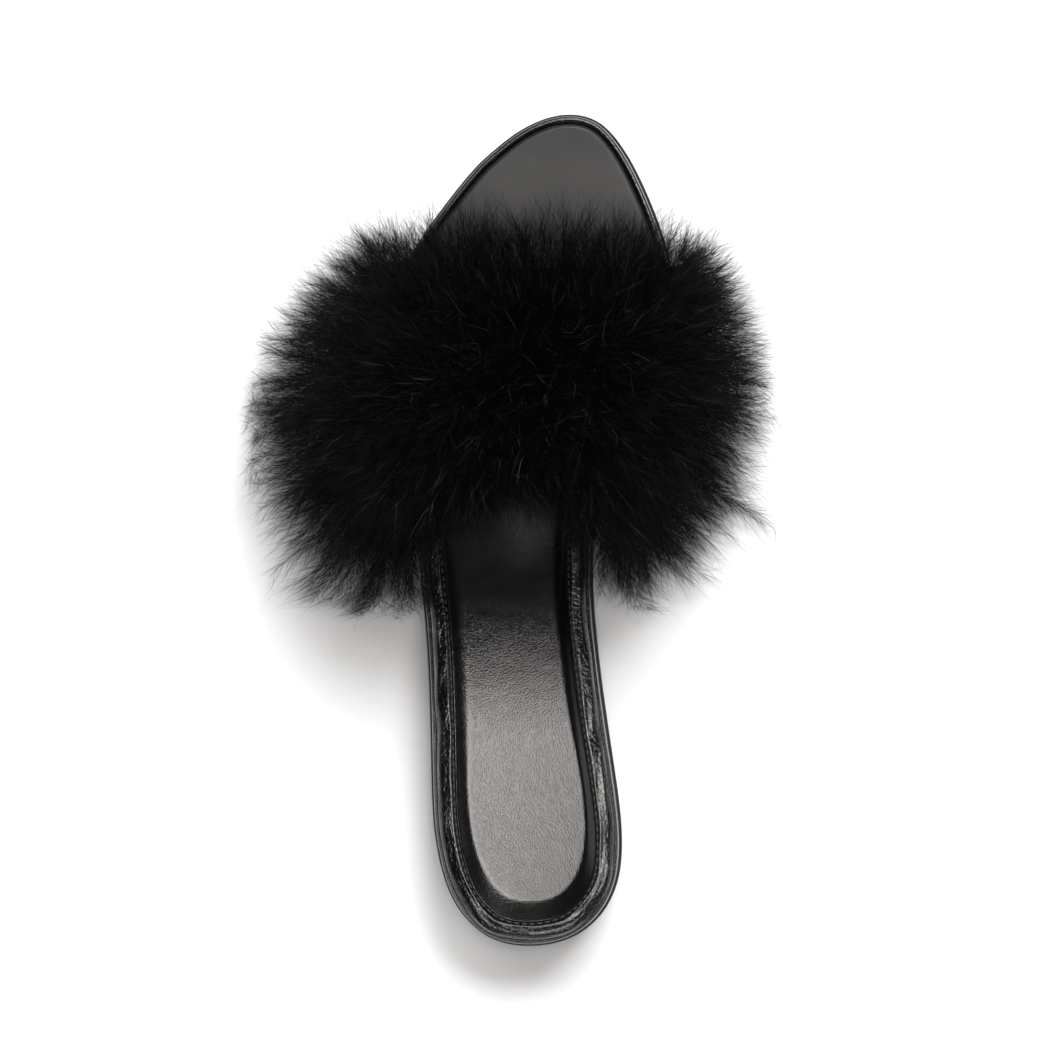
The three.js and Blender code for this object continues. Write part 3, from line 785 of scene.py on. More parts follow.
@dataclass
class SoleHeights:
    """How the sole's pieces are stacked, over the outsole's underside.

    Attributes:
        plan: The sole's plan.
        outsole: Thickness of the outsole.
        ledge: Footbed under the roll.
        tray: Footbed under the sock.
        sock: Thickness of the sock.
        cup: How far the sock climbs to the roll, at most.
        seat: Depth of the heel seat's hollow.
        edge_drop: How far the sock's edge is rounded down.
        edge_round: Width of that rounding.
        inset: Binding from the outsole's edge.
        width_back: Width of the stitched roll.
        width_toe: Width of the roll round the toe.
        roll_back: Height of the stitched roll over its ledge.
        roll_toe: Height of the roll round the toe.
    """

    plan: SolePlan
    outsole: float = 3 * MM
    ledge: float = 3 * MM
    tray: float = 4.6 * MM
    sock: float = 1.2 * MM
    cup: float = 1.7 * MM
    seat: float = 0.8 * MM
    edge_drop: float = 0.4 * MM
    edge_round: float = 1.1 * MM
    inset: float = 0.9 * MM
    width_back: float = 6.5 * MM
    width_toe: float = 2.1 * MM
    roll_back: float = 5.4 * MM
    roll_toe: float = 3 * MM

    def __post_init__(self) -> None:
        """Reads the table of the footbed's edge."""
        self.roll_share = Curve.of(EDGE_ROWS, "along", "roll")
        self.cup_share = Curve.of(EDGE_ROWS, "along", "cup")
        self.climbs = tuple(Curve.of(EDGE_ROWS, "along", side) for side in ("lateral", "medial"))

    def stitched(self, y: np.ndarray) -> np.ndarray:
        """1 where the roll is stitched, 0 where it is plain."""
        return np.clip(self.roll_share(self.plan.along(y)), 0, 1)

    def roll_width(self, y: np.ndarray) -> np.ndarray:
        """Width of the roll."""
        return self.width_toe + self.stitched(y) * (self.width_back - self.width_toe)

    def roll_height(self, y: np.ndarray) -> np.ndarray:
        """Height of the roll over its ledge."""
        return self.roll_toe + self.stitched(y) * (self.roll_back - self.roll_toe)

    @property
    def footbed_foot(self) -> float:
        """Foot of the footbed and the binding."""
        return self.outsole + GAP

    @property
    def ledge_top(self) -> float:
        """Where the roll lies on the footbed."""
        return self.footbed_foot + self.ledge + GAP

    @property
    def sock_top(self) -> float:
        """Top of the sock, away from its edges."""
        return self.footbed_foot + self.tray + GAP + self.sock

    def sock_surface(self, points: np.ndarray, from_edge: np.ndarray) -> np.ndarray:
        """Height of the sock's top.

        Args:
            points: Their x and y.
            from_edge: Their distance from the sock's edge.

        Returns:
            The heights.
        """
        y = points[..., 1]
        along = self.plan.along(y)
        lateral, medial = self.plan.sides(y)
        share = np.clip((points[..., 0] - lateral) / np.maximum(medial - lateral, 1e-6), 0, 1)
        near, far = (climb(along) for climb in self.climbs)
        width = near + ease(share, 0.3, 0.7) * (far - near)
        climb = np.clip(1 - from_edge / width, 0, 1) ** (1.25 + 0.6 * ease(along, 0.15, 0.4))
        hollow = self.seat * np.clip(1 - along / 0.54, 0, 1) * 4 * share * (1 - share)
        plain = self.edge_drop * np.clip(1 - self.cup_share(along), 0, 1)
        hollow = hollow + plain * np.clip(1 - from_edge / self.edge_round, 0, 1) ** 2
        return self.plan.rise(y) + self.sock_top + self.cup * self.cup_share(along) * climb - hollow


@dataclass
class SolePiece:
    """What every piece on the sole is built from.

    Attributes:
        plan: The sole's plan.
        heights: The sole's heights.
    """

    plan: SolePlan
    heights: SoleHeights


@dataclass
class Outsole(SolePiece):
    """The leather outsole, with rounded edges.

    Attributes:
        rounding: Radius of its edges.
        stations: Points round its outline.
        channel: Inset and depth of the points of the seam's channel in its underside.
    """

    rounding: float = 0.7 * MM
    stations: int = 480
    channel: tuple[tuple[float, float], ...] = (
        (6 * MM, 0.0),
        (4.2 * MM, 0.0),
        (3.9 * MM, 0.25 * MM),
        (3.5 * MM, 0.25 * MM),
        (3.2 * MM, 0.0),
        (2 * MM, 0.0),
    )

    def build(self) -> bpy.types.Object:
        """Builds the outsole, with a ladder of quads across its underside and its top.

        Returns:
            The piece.
        """
        quarter = np.linspace(0, math.pi / 2, 5)
        low = [(self.rounding * (1 - math.sin(a)), self.rounding * (1 - math.cos(a))) for a in quarter]
        high = [(inset, self.heights.outsole - height) for inset, height in reversed(low)]
        loops = []
        for inset, height in (*self.channel, *low, *high):
            flat = self.plan.edge(self.plan.turns(self.stations), inset)
            loops.append(np.column_stack([flat, self.plan.rise(flat[:, 1]) + height]))
        size = self.stations
        half = np.arange(size // 2 + 1)
        ladder = join_ends(half, -half % size)
        walls = grid_faces(len(loops), size, wrap_columns=True)[:, ::-1]
        faces = np.concatenate([walls, ladder, (ladder + (len(loops) - 1) * size)[:, ::-1]])
        points = np.concatenate(loops)
        return make_piece("outsole_leather", points, faces, SOLE_LEATHER, ("outsole",))


@dataclass
class Heel(SolePiece):
    """The stacked heel block and its rubber top piece.

    Attributes:
        breast: Place of the breast, as a share of the sole's length.
        hollow: Depth of the breast's curve.
        inset: Heel block from the outsole's edge, at its top.
        taper: How much further in it is at its foot.
        top_piece: Thickness of the rubber.
        lifts: Number of leather lifts in the block.
        groove: Depth of the joint between two lifts.
        side_steps: Steps along each side.
        breast_steps: Steps across the breast.
    """

    breast: float = 0.27
    hollow: float = 4 * MM
    inset: float = 0.6 * MM
    taper: float = 1.6 * MM
    top_piece: float = 3.2 * MM
    lifts: int = 3
    groove: float = 0.14 * MM
    side_steps: int = 90
    breast_steps: int = 40

    def _loop(self, inset: float, low: float, share: float = 0.0) -> np.ndarray:
        """One loop round the heel, from the heel end over the lateral side.

        Args:
            inset: Its inset from the outsole's edge.
            low: Height where its share is 0.
            share: How far it lies from there to the outsole.

        Returns:
            The loop's points.
        """
        angle = np.linspace(0, math.acos(1 - 2 * self.breast), self.side_steps + 1)
        lateral = self.plan.edge(angle, inset)
        medial = self.plan.edge(2 * math.pi - angle[1:], inset)[::-1]
        across = np.arange(1, self.breast_steps)[:, None] / self.breast_steps
        arc = lateral[-1] + across * (medial[0] - lateral[-1])
        arc[:, 1] -= (self.hollow * 4 * across * (1 - across))[:, 0]
        flat = np.concatenate([lateral, arc, medial])
        return np.column_stack([flat, low + share * (self.plan.rise(flat[:, 1]) - GAP - low)])

    def _solid(
        self, loops: list[np.ndarray], name: str, finish: Finish, slot: str, node: str
    ) -> bpy.types.Object:
        """Closes stacked loops with a fan of triangles at each end, and makes the piece.

        Args:
            loops: The loops, from the foot up.
            name: The piece's name.
            finish: Its finish.
            slot: A name for its material slot; not used.
            node: The node that it replaces.

        Returns:
            The piece.
        """
        count, size = len(loops), len(loops[0])
        walls = grid_faces(count, size, wrap_columns=True)[:, ::-1]
        here = np.arange(size)
        triangles = [walls[:, [0, 1, 2]], walls[:, [0, 2, 3]]]
        for end, first in enumerate((0, (count - 1) * size)):
            hub = np.full(size, count * size + end)
            fan = np.stack([first + here, first + (here + 1) % size, hub], axis=1)
            triangles.append(fan[:, ::-1] if end else fan)
        points = np.concatenate([*loops, [loops[0].mean(axis=0), loops[-1].mean(axis=0)]])
        return make_piece(name, points, np.concatenate(triangles), finish, (node,))

    def build_block(self) -> bpy.types.Object:
        """Builds the block of leather lifts.

        Returns:
            The piece.
        """
        profile = [(0.0, 0.0, 0.2 * MM), (0.0, 0.02, 0.0)]
        for lift in range(1, self.lifts):
            joint = lift / self.lifts
            groove = ((-0.025, 0.0), (0.0, self.groove), (0.025, 0.0))
            profile += [(joint, joint + offset, depth) for offset, depth in groove]
        profile += [(1.0, 0.98, 0.0), (1.0, 1.0, 0.2 * MM)]
        loops = []
        for tapered, share, inset in profile:
            inset += self.inset + self.taper * (1 - tapered)
            loops.append(self._loop(inset, self.top_piece + GAP, share))
        return self._solid(loops, "heel_lifts", SOLE_LEATHER, "sole_leather", "heel_block")

    def build_top_piece(self) -> bpy.types.Object:
        """Builds the rubber top piece.

        Returns:
            The piece.
        """
        edge, top = self.inset + self.taper, self.top_piece
        fine, low = 0.15 * MM, 0.5 * MM
        profile = ((low, 0.0), (fine, fine), (0.0, low), (0.0, top - fine), (fine, top))
        loops = [self._loop(edge + inset, height) for inset, height in profile]
        return self._solid(loops, "heel_rubber", HEEL_RUBBER, "heel_rubber", "heel_top_piece")


@dataclass
class EdgeBinding(SolePiece):
    """The leather that wraps the footbed's edge, with a creased double roll from the heel to the ball.

    Attributes:
        skin: Thickness of the leather on the footbed's side.
        stations: Points round the outline.
        columns: Points across the roll.
        wander: How far the crease between the two ridges strays sideways.
        rumple: Height of the broad rumples.
        streak: Height of the fine folds along the roll.
        pucker: Height of the short creases across it.
    """

    skin: float = 1.2 * MM
    stations: int = 1250
    columns: int = 42
    wander: float = 0.055
    rumple: float = 0.07 * MM
    streak: float = 0.03 * MM
    pucker: float = 0.035 * MM

    PROFILE = (
        # share across the roll, share of its height, how much it rumples
        (0.0, 0.28, 0.0),
        (0.0, 0.42, 0.1),
        (0.012, 0.54, 0.2),
        (0.035, 0.62, 0.3),
        (0.065, 0.655, 0.4),
        (0.095, 0.63, 0.3),
        (0.12, 0.59, 0.2),
        (0.15, 0.62, 0.5),
        (0.2, 0.7, 0.8),
        (0.27, 0.79, 1.0),
        (0.34, 0.86, 1.0),
        (0.41, 0.9, 1.0),
        (0.5, 0.928, 1.0),
        (0.6, 0.954, 1.0),
        (0.7, 0.979, 0.9),
        (0.78, 0.997, 0.8),
        (0.84, 0.999, 0.6),
        (0.88, 0.95, 0.4),
        (0.91, 0.86, 0.2),
        (0.94, 0.79, 0.1),
        (0.97, 0.775, 0.1),
        (1.0, 0.73, 0.0),
    )
    PLAIN = ((0.0, 0.28), (0.05, 0.72), (0.2, 0.93), (0.42, 1.0), (0.7, 0.97), (0.9, 0.87), (1.0, 0.72))

    def build(self) -> bpy.types.Object:
        """Builds the binding.

        Returns:
            The piece.
        """
        turns = self.plan.turns(self.stations)
        outline = self.plan.edge(turns)
        run, y = travelled(outline)[:, None], outline[:, 1:]
        shares, levels, weights = self._section()
        stitched, width = self.heights.stitched(y), self.heights.roll_width(y)
        level = stitched * levels + (1 - stitched) * Curve(*np.array(self.PLAIN).T)(shares + 0 * y)
        stray = Ripples(11, (26 * MM,))(run) * self.wander * 4 * shares * (1 - shares)
        share = shares + stitched * stray
        height = self.heights.ledge_top + level * self.heights.roll_height(y)
        height = height + stitched * weights * self._relief(run, share * width)
        edge, foot, base = self.heights.inset, self.heights.footbed_foot, self.heights.ledge_top
        side = [(self.skin, 0.0), (0.15 * MM, 0.0), (0.0, 0.2 * MM), (0.0, 2 * MM)]
        insets = [*(inset + 0 * y for inset, _ in side), share * width, width, self.skin + 0 * y]
        insets = edge + np.concatenate(insets, axis=1)
        levels = [*(foot + rise + 0 * y for _, rise in side), height, base + 0 * y, base + 0 * y]
        levels = np.concatenate(levels, axis=1)
        flat = self.plan.edge(np.repeat(turns[:, None], insets.shape[1], axis=1), insets)
        points = np.dstack([flat, self.plan.rise(flat[..., 1]) + levels]).reshape(-1, 3)
        faces = grid_faces(*insets.shape, wrap_rows=True, wrap_columns=True)
        nodes = ("edge_binding",)
        return make_piece("binding_roll", points, faces, BINDING_LEATHER, nodes)

    def _section(self) -> tuple[np.ndarray, np.ndarray, np.ndarray]:
        """Fills the roll's section in between its listed points.

        Returns:
            Shares across the roll, levels and rumple weights, each as one row.
        """
        table = np.array(self.PROFILE)
        run = travelled(table[:, :2] * (1.2, 1.0))
        fine = np.linspace(0, run[-1], self.columns)
        return tuple(Curve(run, table[:, column])(fine)[None, :] for column in range(3))

    def _relief(self, run: np.ndarray, across: np.ndarray) -> np.ndarray:
        """Rumples and short creases of the roll.

        Args:
            run: Distance round the outline.
            across: Distance across the roll.

        Returns:
            The height that they add.
        """
        rumples = Ripples(3, (13 * MM, 4 * MM))(run, across)
        streaks = Ripples(7, (19 * MM, 1.5 * MM))(run, across)
        creases = Ripples(5, (2.2 * MM, 6 * MM))(run + 1.2 * across, across)
        return self.rumple * rumples + self.streak * streaks - self.pucker * np.clip(np.abs(creases), 0, 1.4)


@dataclass
class Stitching(SolePiece):
    """A row of stitches that follows the sole's outline.

    Attributes:
        pitch: Distance from stitch to stitch.
        length: Length of a stitch.
        radius: Radius of the thread.
        place: Place of the row, as a share across the roll.
        depth: The row's height, as a share of the roll's height.
        ends: Share of the sole's length where the row ends under the band.
    """

    pitch: float = 2.3 * MM
    length: float = 1.75 * MM
    radius: float = 0.29 * MM
    place: float = 0.945
    depth: float = 0.79
    ends: float = 0.74

    RINGS = 7
    SIDES = 8

    def build(self) -> bpy.types.Object:
        """Builds the row.

        Returns:
            The piece.
        """
        last = math.acos(1 - 2 * self.ends)
        fine = np.linspace(-last, last, 4000)
        inset = self.heights.inset + self.place * self.heights.roll_width(self.plan.edge(fine)[:, 1])
        flat = self.plan.edge(fine % (2 * math.pi), inset)
        run = travelled(flat)
        count = int(run[-1] / self.pitch)
        draw = np.random.default_rng(21)
        middles = (np.arange(count) + 0.5) * self.pitch + draw.normal(0, 0.06 * MM, count)
        shares = np.linspace(-1, 1, self.RINGS)
        places = middles[:, None] + shares[None, :] * self.length / 2
        x, y = (np.interp(places, run, flat[:, axis]) for axis in (0, 1))
        top = self.heights.ledge_top + self.depth * self.heights.roll_height(y)
        z = self.plan.rise(y) + top + self.radius * (0.9 - 1.5 * shares[None, :] ** 4)
        return self._thread(np.stack([x, y, z], axis=-1), shares)

    def _thread(self, spine: np.ndarray, shares: np.ndarray) -> bpy.types.Object:
        """Wraps rings of thread round each stitch's spine.

        Args:
            spine: Points of each stitch.
            shares: Place of each ring, from -1 to 1.

        Returns:
            The piece.
        """
        heading = unit(spine[:, -1] - spine[:, 0])[:, None, None, :]
        up = np.array([0.0, 0.0, 1.0])
        side = unit(np.cross(heading, up))
        angle = np.arange(self.SIDES) * 2 * math.pi / self.SIDES
        ring = side * np.cos(angle)[:, None] + up * np.sin(angle)[:, None]
        thick = self.radius * np.sqrt(np.maximum(1 - shares**4, 0.02))[None, :, None, None]
        points = (spine[:, :, None, :] + ring * thick).reshape(-1, 3)
        tube = grid_faces(self.RINGS, self.SIDES, wrap_columns=True)
        start = np.arange(self.SIDES // 2)
        cap = join_ends(start, self.SIDES - 1 - start)
        single = np.concatenate([tube, cap, cap[:, ::-1] + (self.RINGS - 1) * self.SIDES])
        faces = np.concatenate([single + first for first in range(0, len(points), self.RINGS * self.SIDES)])
        return make_piece("binding_stitches", points, faces, BLACK_THREAD)


@dataclass
class InsoleSock(SolePiece):
    """The leather sock that lies in the binding, cupped up to the roll.

    Attributes:
        rows: Rows from the heel to the toe.
        columns: Points across.
    """

    rows: int = 320
    columns: int = 56

    def _edge(self, turn: np.ndarray) -> np.ndarray:
        """The sock's edge, just inside the roll."""
        y = self.plan.edge(turn)[:, 1]
        return self.plan.edge(turn, self.heights.inset + self.heights.roll_width(y) + GAP)

    def build(self) -> bpy.types.Object:
        """Builds the sock.

        Returns:
            The piece.
        """
        angle = np.linspace(0, math.pi, self.rows)
        lateral, medial = self._edge(angle), self._edge(2 * math.pi - angle)
        share = (1 - np.cos(np.linspace(0, math.pi, self.columns))) / 2
        flat = lateral[:, None, :] + share[None, :, None] * (medial - lateral)[:, None, :]
        from_edge = self._distance(flat.reshape(-1, 2)).reshape(flat.shape[:2])
        top = self.heights.sock_surface(flat, from_edge)
        points = [np.dstack([flat, height]).reshape(-1, 3) for height in (top, top - self.heights.sock)]
        sheet = grid_faces(self.rows, self.columns)
        size = self.rows * self.columns
        lip = np.arange(self.rows) * self.columns
        side = join_ends(lip, lip + size)
        medial_side = side[:, [1, 0, 3, 2]] + self.columns - 1
        faces = np.concatenate([sheet, sheet[:, ::-1] + size, side, medial_side])
        points = np.concatenate(points)
        return make_piece("sock_sheet", points, faces, SOCK_LEATHER, ("insole_sock",))

    def _distance(self, flat: np.ndarray) -> np.ndarray:
        """Distance of points from the sock's edge.

        Args:
            flat: Their x and y.

        Returns:
            The distances.
        """
        rim = self._edge(self.plan.turns(900))
        parts = np.array_split(flat, 24)
        return np.concatenate([np.linalg.norm(part[:, None] - rim, axis=2).min(axis=1) for part in parts])


@dataclass
class VampBand(SolePiece):
    """The leather band over the foot, turned in under the footbed.

    Attributes:
        inside: The band's inside from the outsole's edge.
        wall: Thickness of the whole band.
        lining: Thickness of its lining.
        turn_in: How far it is lasted under the footbed.
        spring: Height where it starts to curve in.
        power: Exponent of its section.
        crest: Place of its crest across the foot.
        front: Its front edge, as a share of the sole's length.
        back: Its back edge.
        front_setback: How far its front edge is drawn in at the crest.
        back_setback: How far its back edge is drawn in at the crest.
        instep: Height of its inside at the crest, over the spring.
    """

    inside: float = 0.6 * MM
    wall: float = 1.8 * MM
    lining: float = 0.6 * MM
    turn_in: float = 11 * MM
    spring: float = 10.6 * MM
    power: float = 2.25
    crest: float = 0.56
    front: float = 0.815
    back: float = 0.54
    front_setback: float = 0.012
    back_setback: float = 0.02
    instep: float = 52 * MM

    INSTEP_PLACES = (0.48, 0.55, 0.63, 0.72, 0.82, 0.88)
    INSTEP_SHARES = (1.08, 1.0, 0.88, 0.75, 0.62, 0.55)
    ARCH_STEPS = 150
    ALONG_STEPS = 44

    def __post_init__(self) -> None:
        """Reads the table of the band's height."""
        self.arch_height = Curve(np.array(self.INSTEP_PLACES), np.array(self.INSTEP_SHARES) * self.instep)

    def inner(self, along: np.ndarray, turn: np.ndarray) -> np.ndarray:
        """Points on the band's inside.

        Args:
            along: Their place along the sole, as a share.
            turn: 0 at the lateral spring, 1 at the medial one.

        Returns:
            The points.
        """
        angle = np.arccos(1 - 2 * np.clip(along, 0, 1))
        lateral, medial = (self.plan.edge(side, self.inside) for side in (angle, 2 * math.pi - angle))
        cosine, sine = np.cos(math.pi * turn), np.sin(math.pi * turn)
        even = (1 - np.sign(cosine) * np.abs(cosine) ** (2 / self.power)) / 2
        share = even ** (math.log(self.crest) / math.log(0.5))
        flat = lateral + (medial - lateral) * share[..., None]
        up = np.abs(sine) ** (2 / self.power) * self.arch_height(along)
        return np.concatenate([flat, (self.plan.rise(flat[..., 1]) + self.spring + up)[..., None]], axis=-1)

    def directions(self, along: np.ndarray, turn: np.ndarray) -> tuple[np.ndarray, np.ndarray]:
        """The way to the toe on the band, and its outward normal.

        Args:
            along: Places along the sole.
            turn: Turns over the band.

        Returns:
            Unit vectors ahead and outward.
        """
        step = 2e-3
        turn = np.clip(turn, step, 1 - step)
        ahead = unit(self.inner(along + step, turn) - self.inner(along - step, turn))
        round_it = unit(self.inner(along, turn + step) - self.inner(along, turn - step))
        return ahead, unit(np.cross(round_it, ahead))

    def surface(self, along: np.ndarray, turn: np.ndarray, lift: np.ndarray | float) -> np.ndarray:
        """Points off the band's inside, by their distance from it."""
        return self.inner(along, turn) + self.directions(along, turn)[1] * np.asarray(lift)[..., None]

    def along_at(self, turn: np.ndarray, share: np.ndarray, overhang: float = 0.0) -> np.ndarray:
        """A place between the band's back and front edge.

        Args:
            turn: Turns over the band.
            share: 0 at the back edge, 1 at the front edge.
            overhang: How far both edges are moved out.

        Returns:
            The place, as a share of the sole's length.
        """
        arch = np.sin(math.pi * turn)
        reach = overhang / self.plan.length
        back = self.back + self.back_setback * arch - reach
        front = self.front - self.front_setback * arch + reach
        return back + (front - back) * share

    def _layer(self, name: str, low: float, high: float, margin: float, finish: Finish) -> bpy.types.Object:
        """One layer of the band as a closed sheet with rounded edges.

        Args:
            name: The piece's name.
            low: Its inner face, off the band's inside.
            high: Its outer face.
            margin: How far its edges lie inside the band's edges.
            finish: Its finish.

        Returns:
            The piece.
        """
        half = (high - low) / 2
        length = (self.front - self.back) * self.plan.length
        bow = np.linspace(0, math.pi, 7)[1:-1]
        flat = np.linspace(0, 1, self.ALONG_STEPS)
        ends = half / length * np.sin(bow)
        shares = np.concatenate([flat, 1 + ends, flat[::-1], -ends])
        outer, inner = half + 0 * flat, half * np.cos(bow)
        lifts = (low + high) / 2 + np.concatenate([outer, inner, -outer, -inner])
        inset = (margin + half) / length
        shares = inset + shares * (1 - 2 * inset)
        turn, share = np.meshgrid(np.linspace(0, 1, self.ARCH_STEPS), shares, indexing="ij")
        arch = self.surface(self.along_at(turn, share), turn, np.broadcast_to(lifts, turn.shape))
        lateral, medial = (self._flange(side, shares, lifts) for side in (0.0, 1.0))
        rows = np.concatenate([lateral, arch, medial[::-1]])
        count, size = rows.shape[:2]
        steps = np.arange(size // 2)
        cap = join_ends(steps, size - 1 - steps)
        walls = grid_faces(count, size, wrap_columns=True)
        faces = np.concatenate([walls, cap[:, ::-1], cap + (count - 1) * size])
        return make_piece(name, rows.reshape(-1, 3), faces[:, ::-1], finish, ("vamp_band",))

    def _flange(self, turn: float, shares: np.ndarray, lifts: np.ndarray) -> np.ndarray:
        """The part of a layer below its arch: down the footbed's side and in under it.

        Args:
            turn: 0 for the lateral side, 1 for the medial side.
            shares: Places between the band's edges.
            lifts: Distance from the band's inside at those places.

        Returns:
            Rows of points, from the flange's end up.
        """
        angle = np.arccos(1 - 2 * self.along_at(np.full(len(shares), turn), shares))
        angle = angle if turn == 0.0 else 2 * math.pi - angle
        corner = 0.9 * MM
        foot = self.heights.footbed_foot + self.wall
        low, reach = foot + corner, corner + lifts
        rows = [(self.inside + inset, foot - lifts) for inset in np.linspace(self.turn_in, corner, 8)]
        for bend in np.linspace(0, math.pi / 2, 6)[1:]:
            rows.append((self.inside + corner - reach * math.sin(bend), low - reach * math.cos(bend)))
        for climb in np.linspace(0, 1, 8)[1:-1]:
            rows.append((self.inside - lifts, low + (self.spring - low) * climb))
        made = []
        for inset, height in rows:
            flat = self.plan.edge(angle, inset)
            made.append(np.column_stack([flat, self.plan.rise(flat[:, 1]) + height]))
        return np.stack(made)

    def build_outer(self) -> bpy.types.Object:
        """Builds the outer leather."""
        return self._layer("band_outer", self.lining + 0.02 * MM, self.wall, 0.0, BAND_LEATHER)

    def build_lining(self) -> bpy.types.Object:
        """Builds the lining, which stops short of the band's edges."""
        return self._layer("band_lining", 0.0, self.lining, 1.2 * MM, LINING_LEATHER)


@dataclass(frozen=True)
class PlumeRow:
    """How the plumes are at a place between the band's back and front edge.

    Attributes:
        place: 0 at the back edge, 1 at the front edge.
        lateral: Length of a plume on the lateral flank, in plume lengths.
        crest: Its length on the crest.
        medial: Its length on the medial flank.
        lean: How far it leans back (negative) or forward on the crest, in degrees.
        flank_lean: How far it leans on the flanks.
        fan: Spread of the lean on the flanks.
    """

    place: float
    lateral: float
    crest: float
    medial: float
    lean: float
    flank_lean: float
    fan: float


PLUME_ROWS = (
    PlumeRow(place=0.0, lateral=2.1, crest=0.64, medial=1.75, lean=-76.0, flank_lean=-78.0, fan=27.0),
    PlumeRow(place=0.3, lateral=1.95, crest=0.85, medial=1.4, lean=-48.0, flank_lean=-24.0, fan=18.0),
    PlumeRow(place=0.6, lateral=1.45, crest=0.75, medial=0.95, lean=0.0, flank_lean=0.0, fan=12.0),
    PlumeRow(place=0.85, lateral=1.0, crest=0.75, medial=0.65, lean=40.0, flank_lean=24.0, fan=14.0),
    PlumeRow(place=1.0, lateral=0.75, crest=0.95, medial=0.55, lean=66.0, flank_lean=50.0, fan=14.0),
)


class Patch(Enum):
    """Parts of the trim, from the lateral to the medial side. Each is a piece of its own."""

    LATERAL = "marabou_lateral"
    LATERAL_CREST = "marabou_lateral_crest"
    CREST = "marabou_crest"
    MEDIAL_CREST = "marabou_medial_crest"
    MEDIAL = "marabou_medial"


@dataclass
class Barbs:
    """Tapered ribbons, one for each barb.

    Attributes:
        width: Width of a barb near its root.
        steps: Places along a barb where it bends.
    """

    width: float = 0.15 * MM
    steps: tuple[float, ...] = (0.0, 0.4, 0.75, 1.0)

    UV_MAP = "OFBake"

    def mesh(
        self, roots: np.ndarray, reach: np.ndarray, bend: np.ndarray, flat: np.ndarray, width: np.ndarray
    ) -> tuple[np.ndarray, np.ndarray]:
        """Vertices and triangles of many barbs.

        Args:
            roots: Where the barbs grow.
            reach: From root to tip, before they bend.
            bend: How far their tips are moved aside.
            flat: Unit vectors across the ribbons.
            width: Their widths.

        Returns:
            The vertices and the triangles.
        """
        steps = np.array(self.steps)[None, :, None]
        spine = roots[:, None] + reach[:, None] * steps + bend[:, None] * steps**2
        half = (width[:, None] * np.array([0.7, 1.0, 0.62]) / 2)[..., None]
        aside = flat[:, None, None, :] * half[:, :, None, :]
        pairs = spine[:, :3, None, :] + aside * np.array([-1, 1])[:, None]
        points = np.concatenate([pairs.reshape(len(roots), 6, 3), spine[:, 3:4]], axis=1)
        single = np.array([[0, 1, 3], [0, 3, 2], [2, 3, 5], [2, 5, 4], [4, 5, 6]])
        faces = single[None] + 7 * np.arange(len(roots))[:, None, None]
        return points.reshape(-1, 3), faces.reshape(-1, 3)

    def paint(self, piece: bpy.types.Object, shades: np.ndarray) -> None:
        """Gives the ribbons their UV map.

        Args:
            piece: The piece that holds them.
            shades: The lightness of each barb, from 0 to 1: painted light that rises towards the flanks with
                random tone on top, and 1 for the painted glints.
        """
        along = np.array([0, 0, self.steps[1], self.steps[1], self.steps[2], self.steps[2], 1.0])
        uv = np.stack([np.repeat(shades, 7), np.tile(along, len(shades))], axis=1)
        corners = np.empty(len(piece.data.loops), np.int32)
        piece.data.loops.foreach_get("vertex_index", corners)
        layer = piece.data.uv_layers.new(name=self.UV_MAP)
        layer.data.foreach_set("uv", np.clip(uv[corners], 0.002, 0.998).astype(np.float32).ravel())


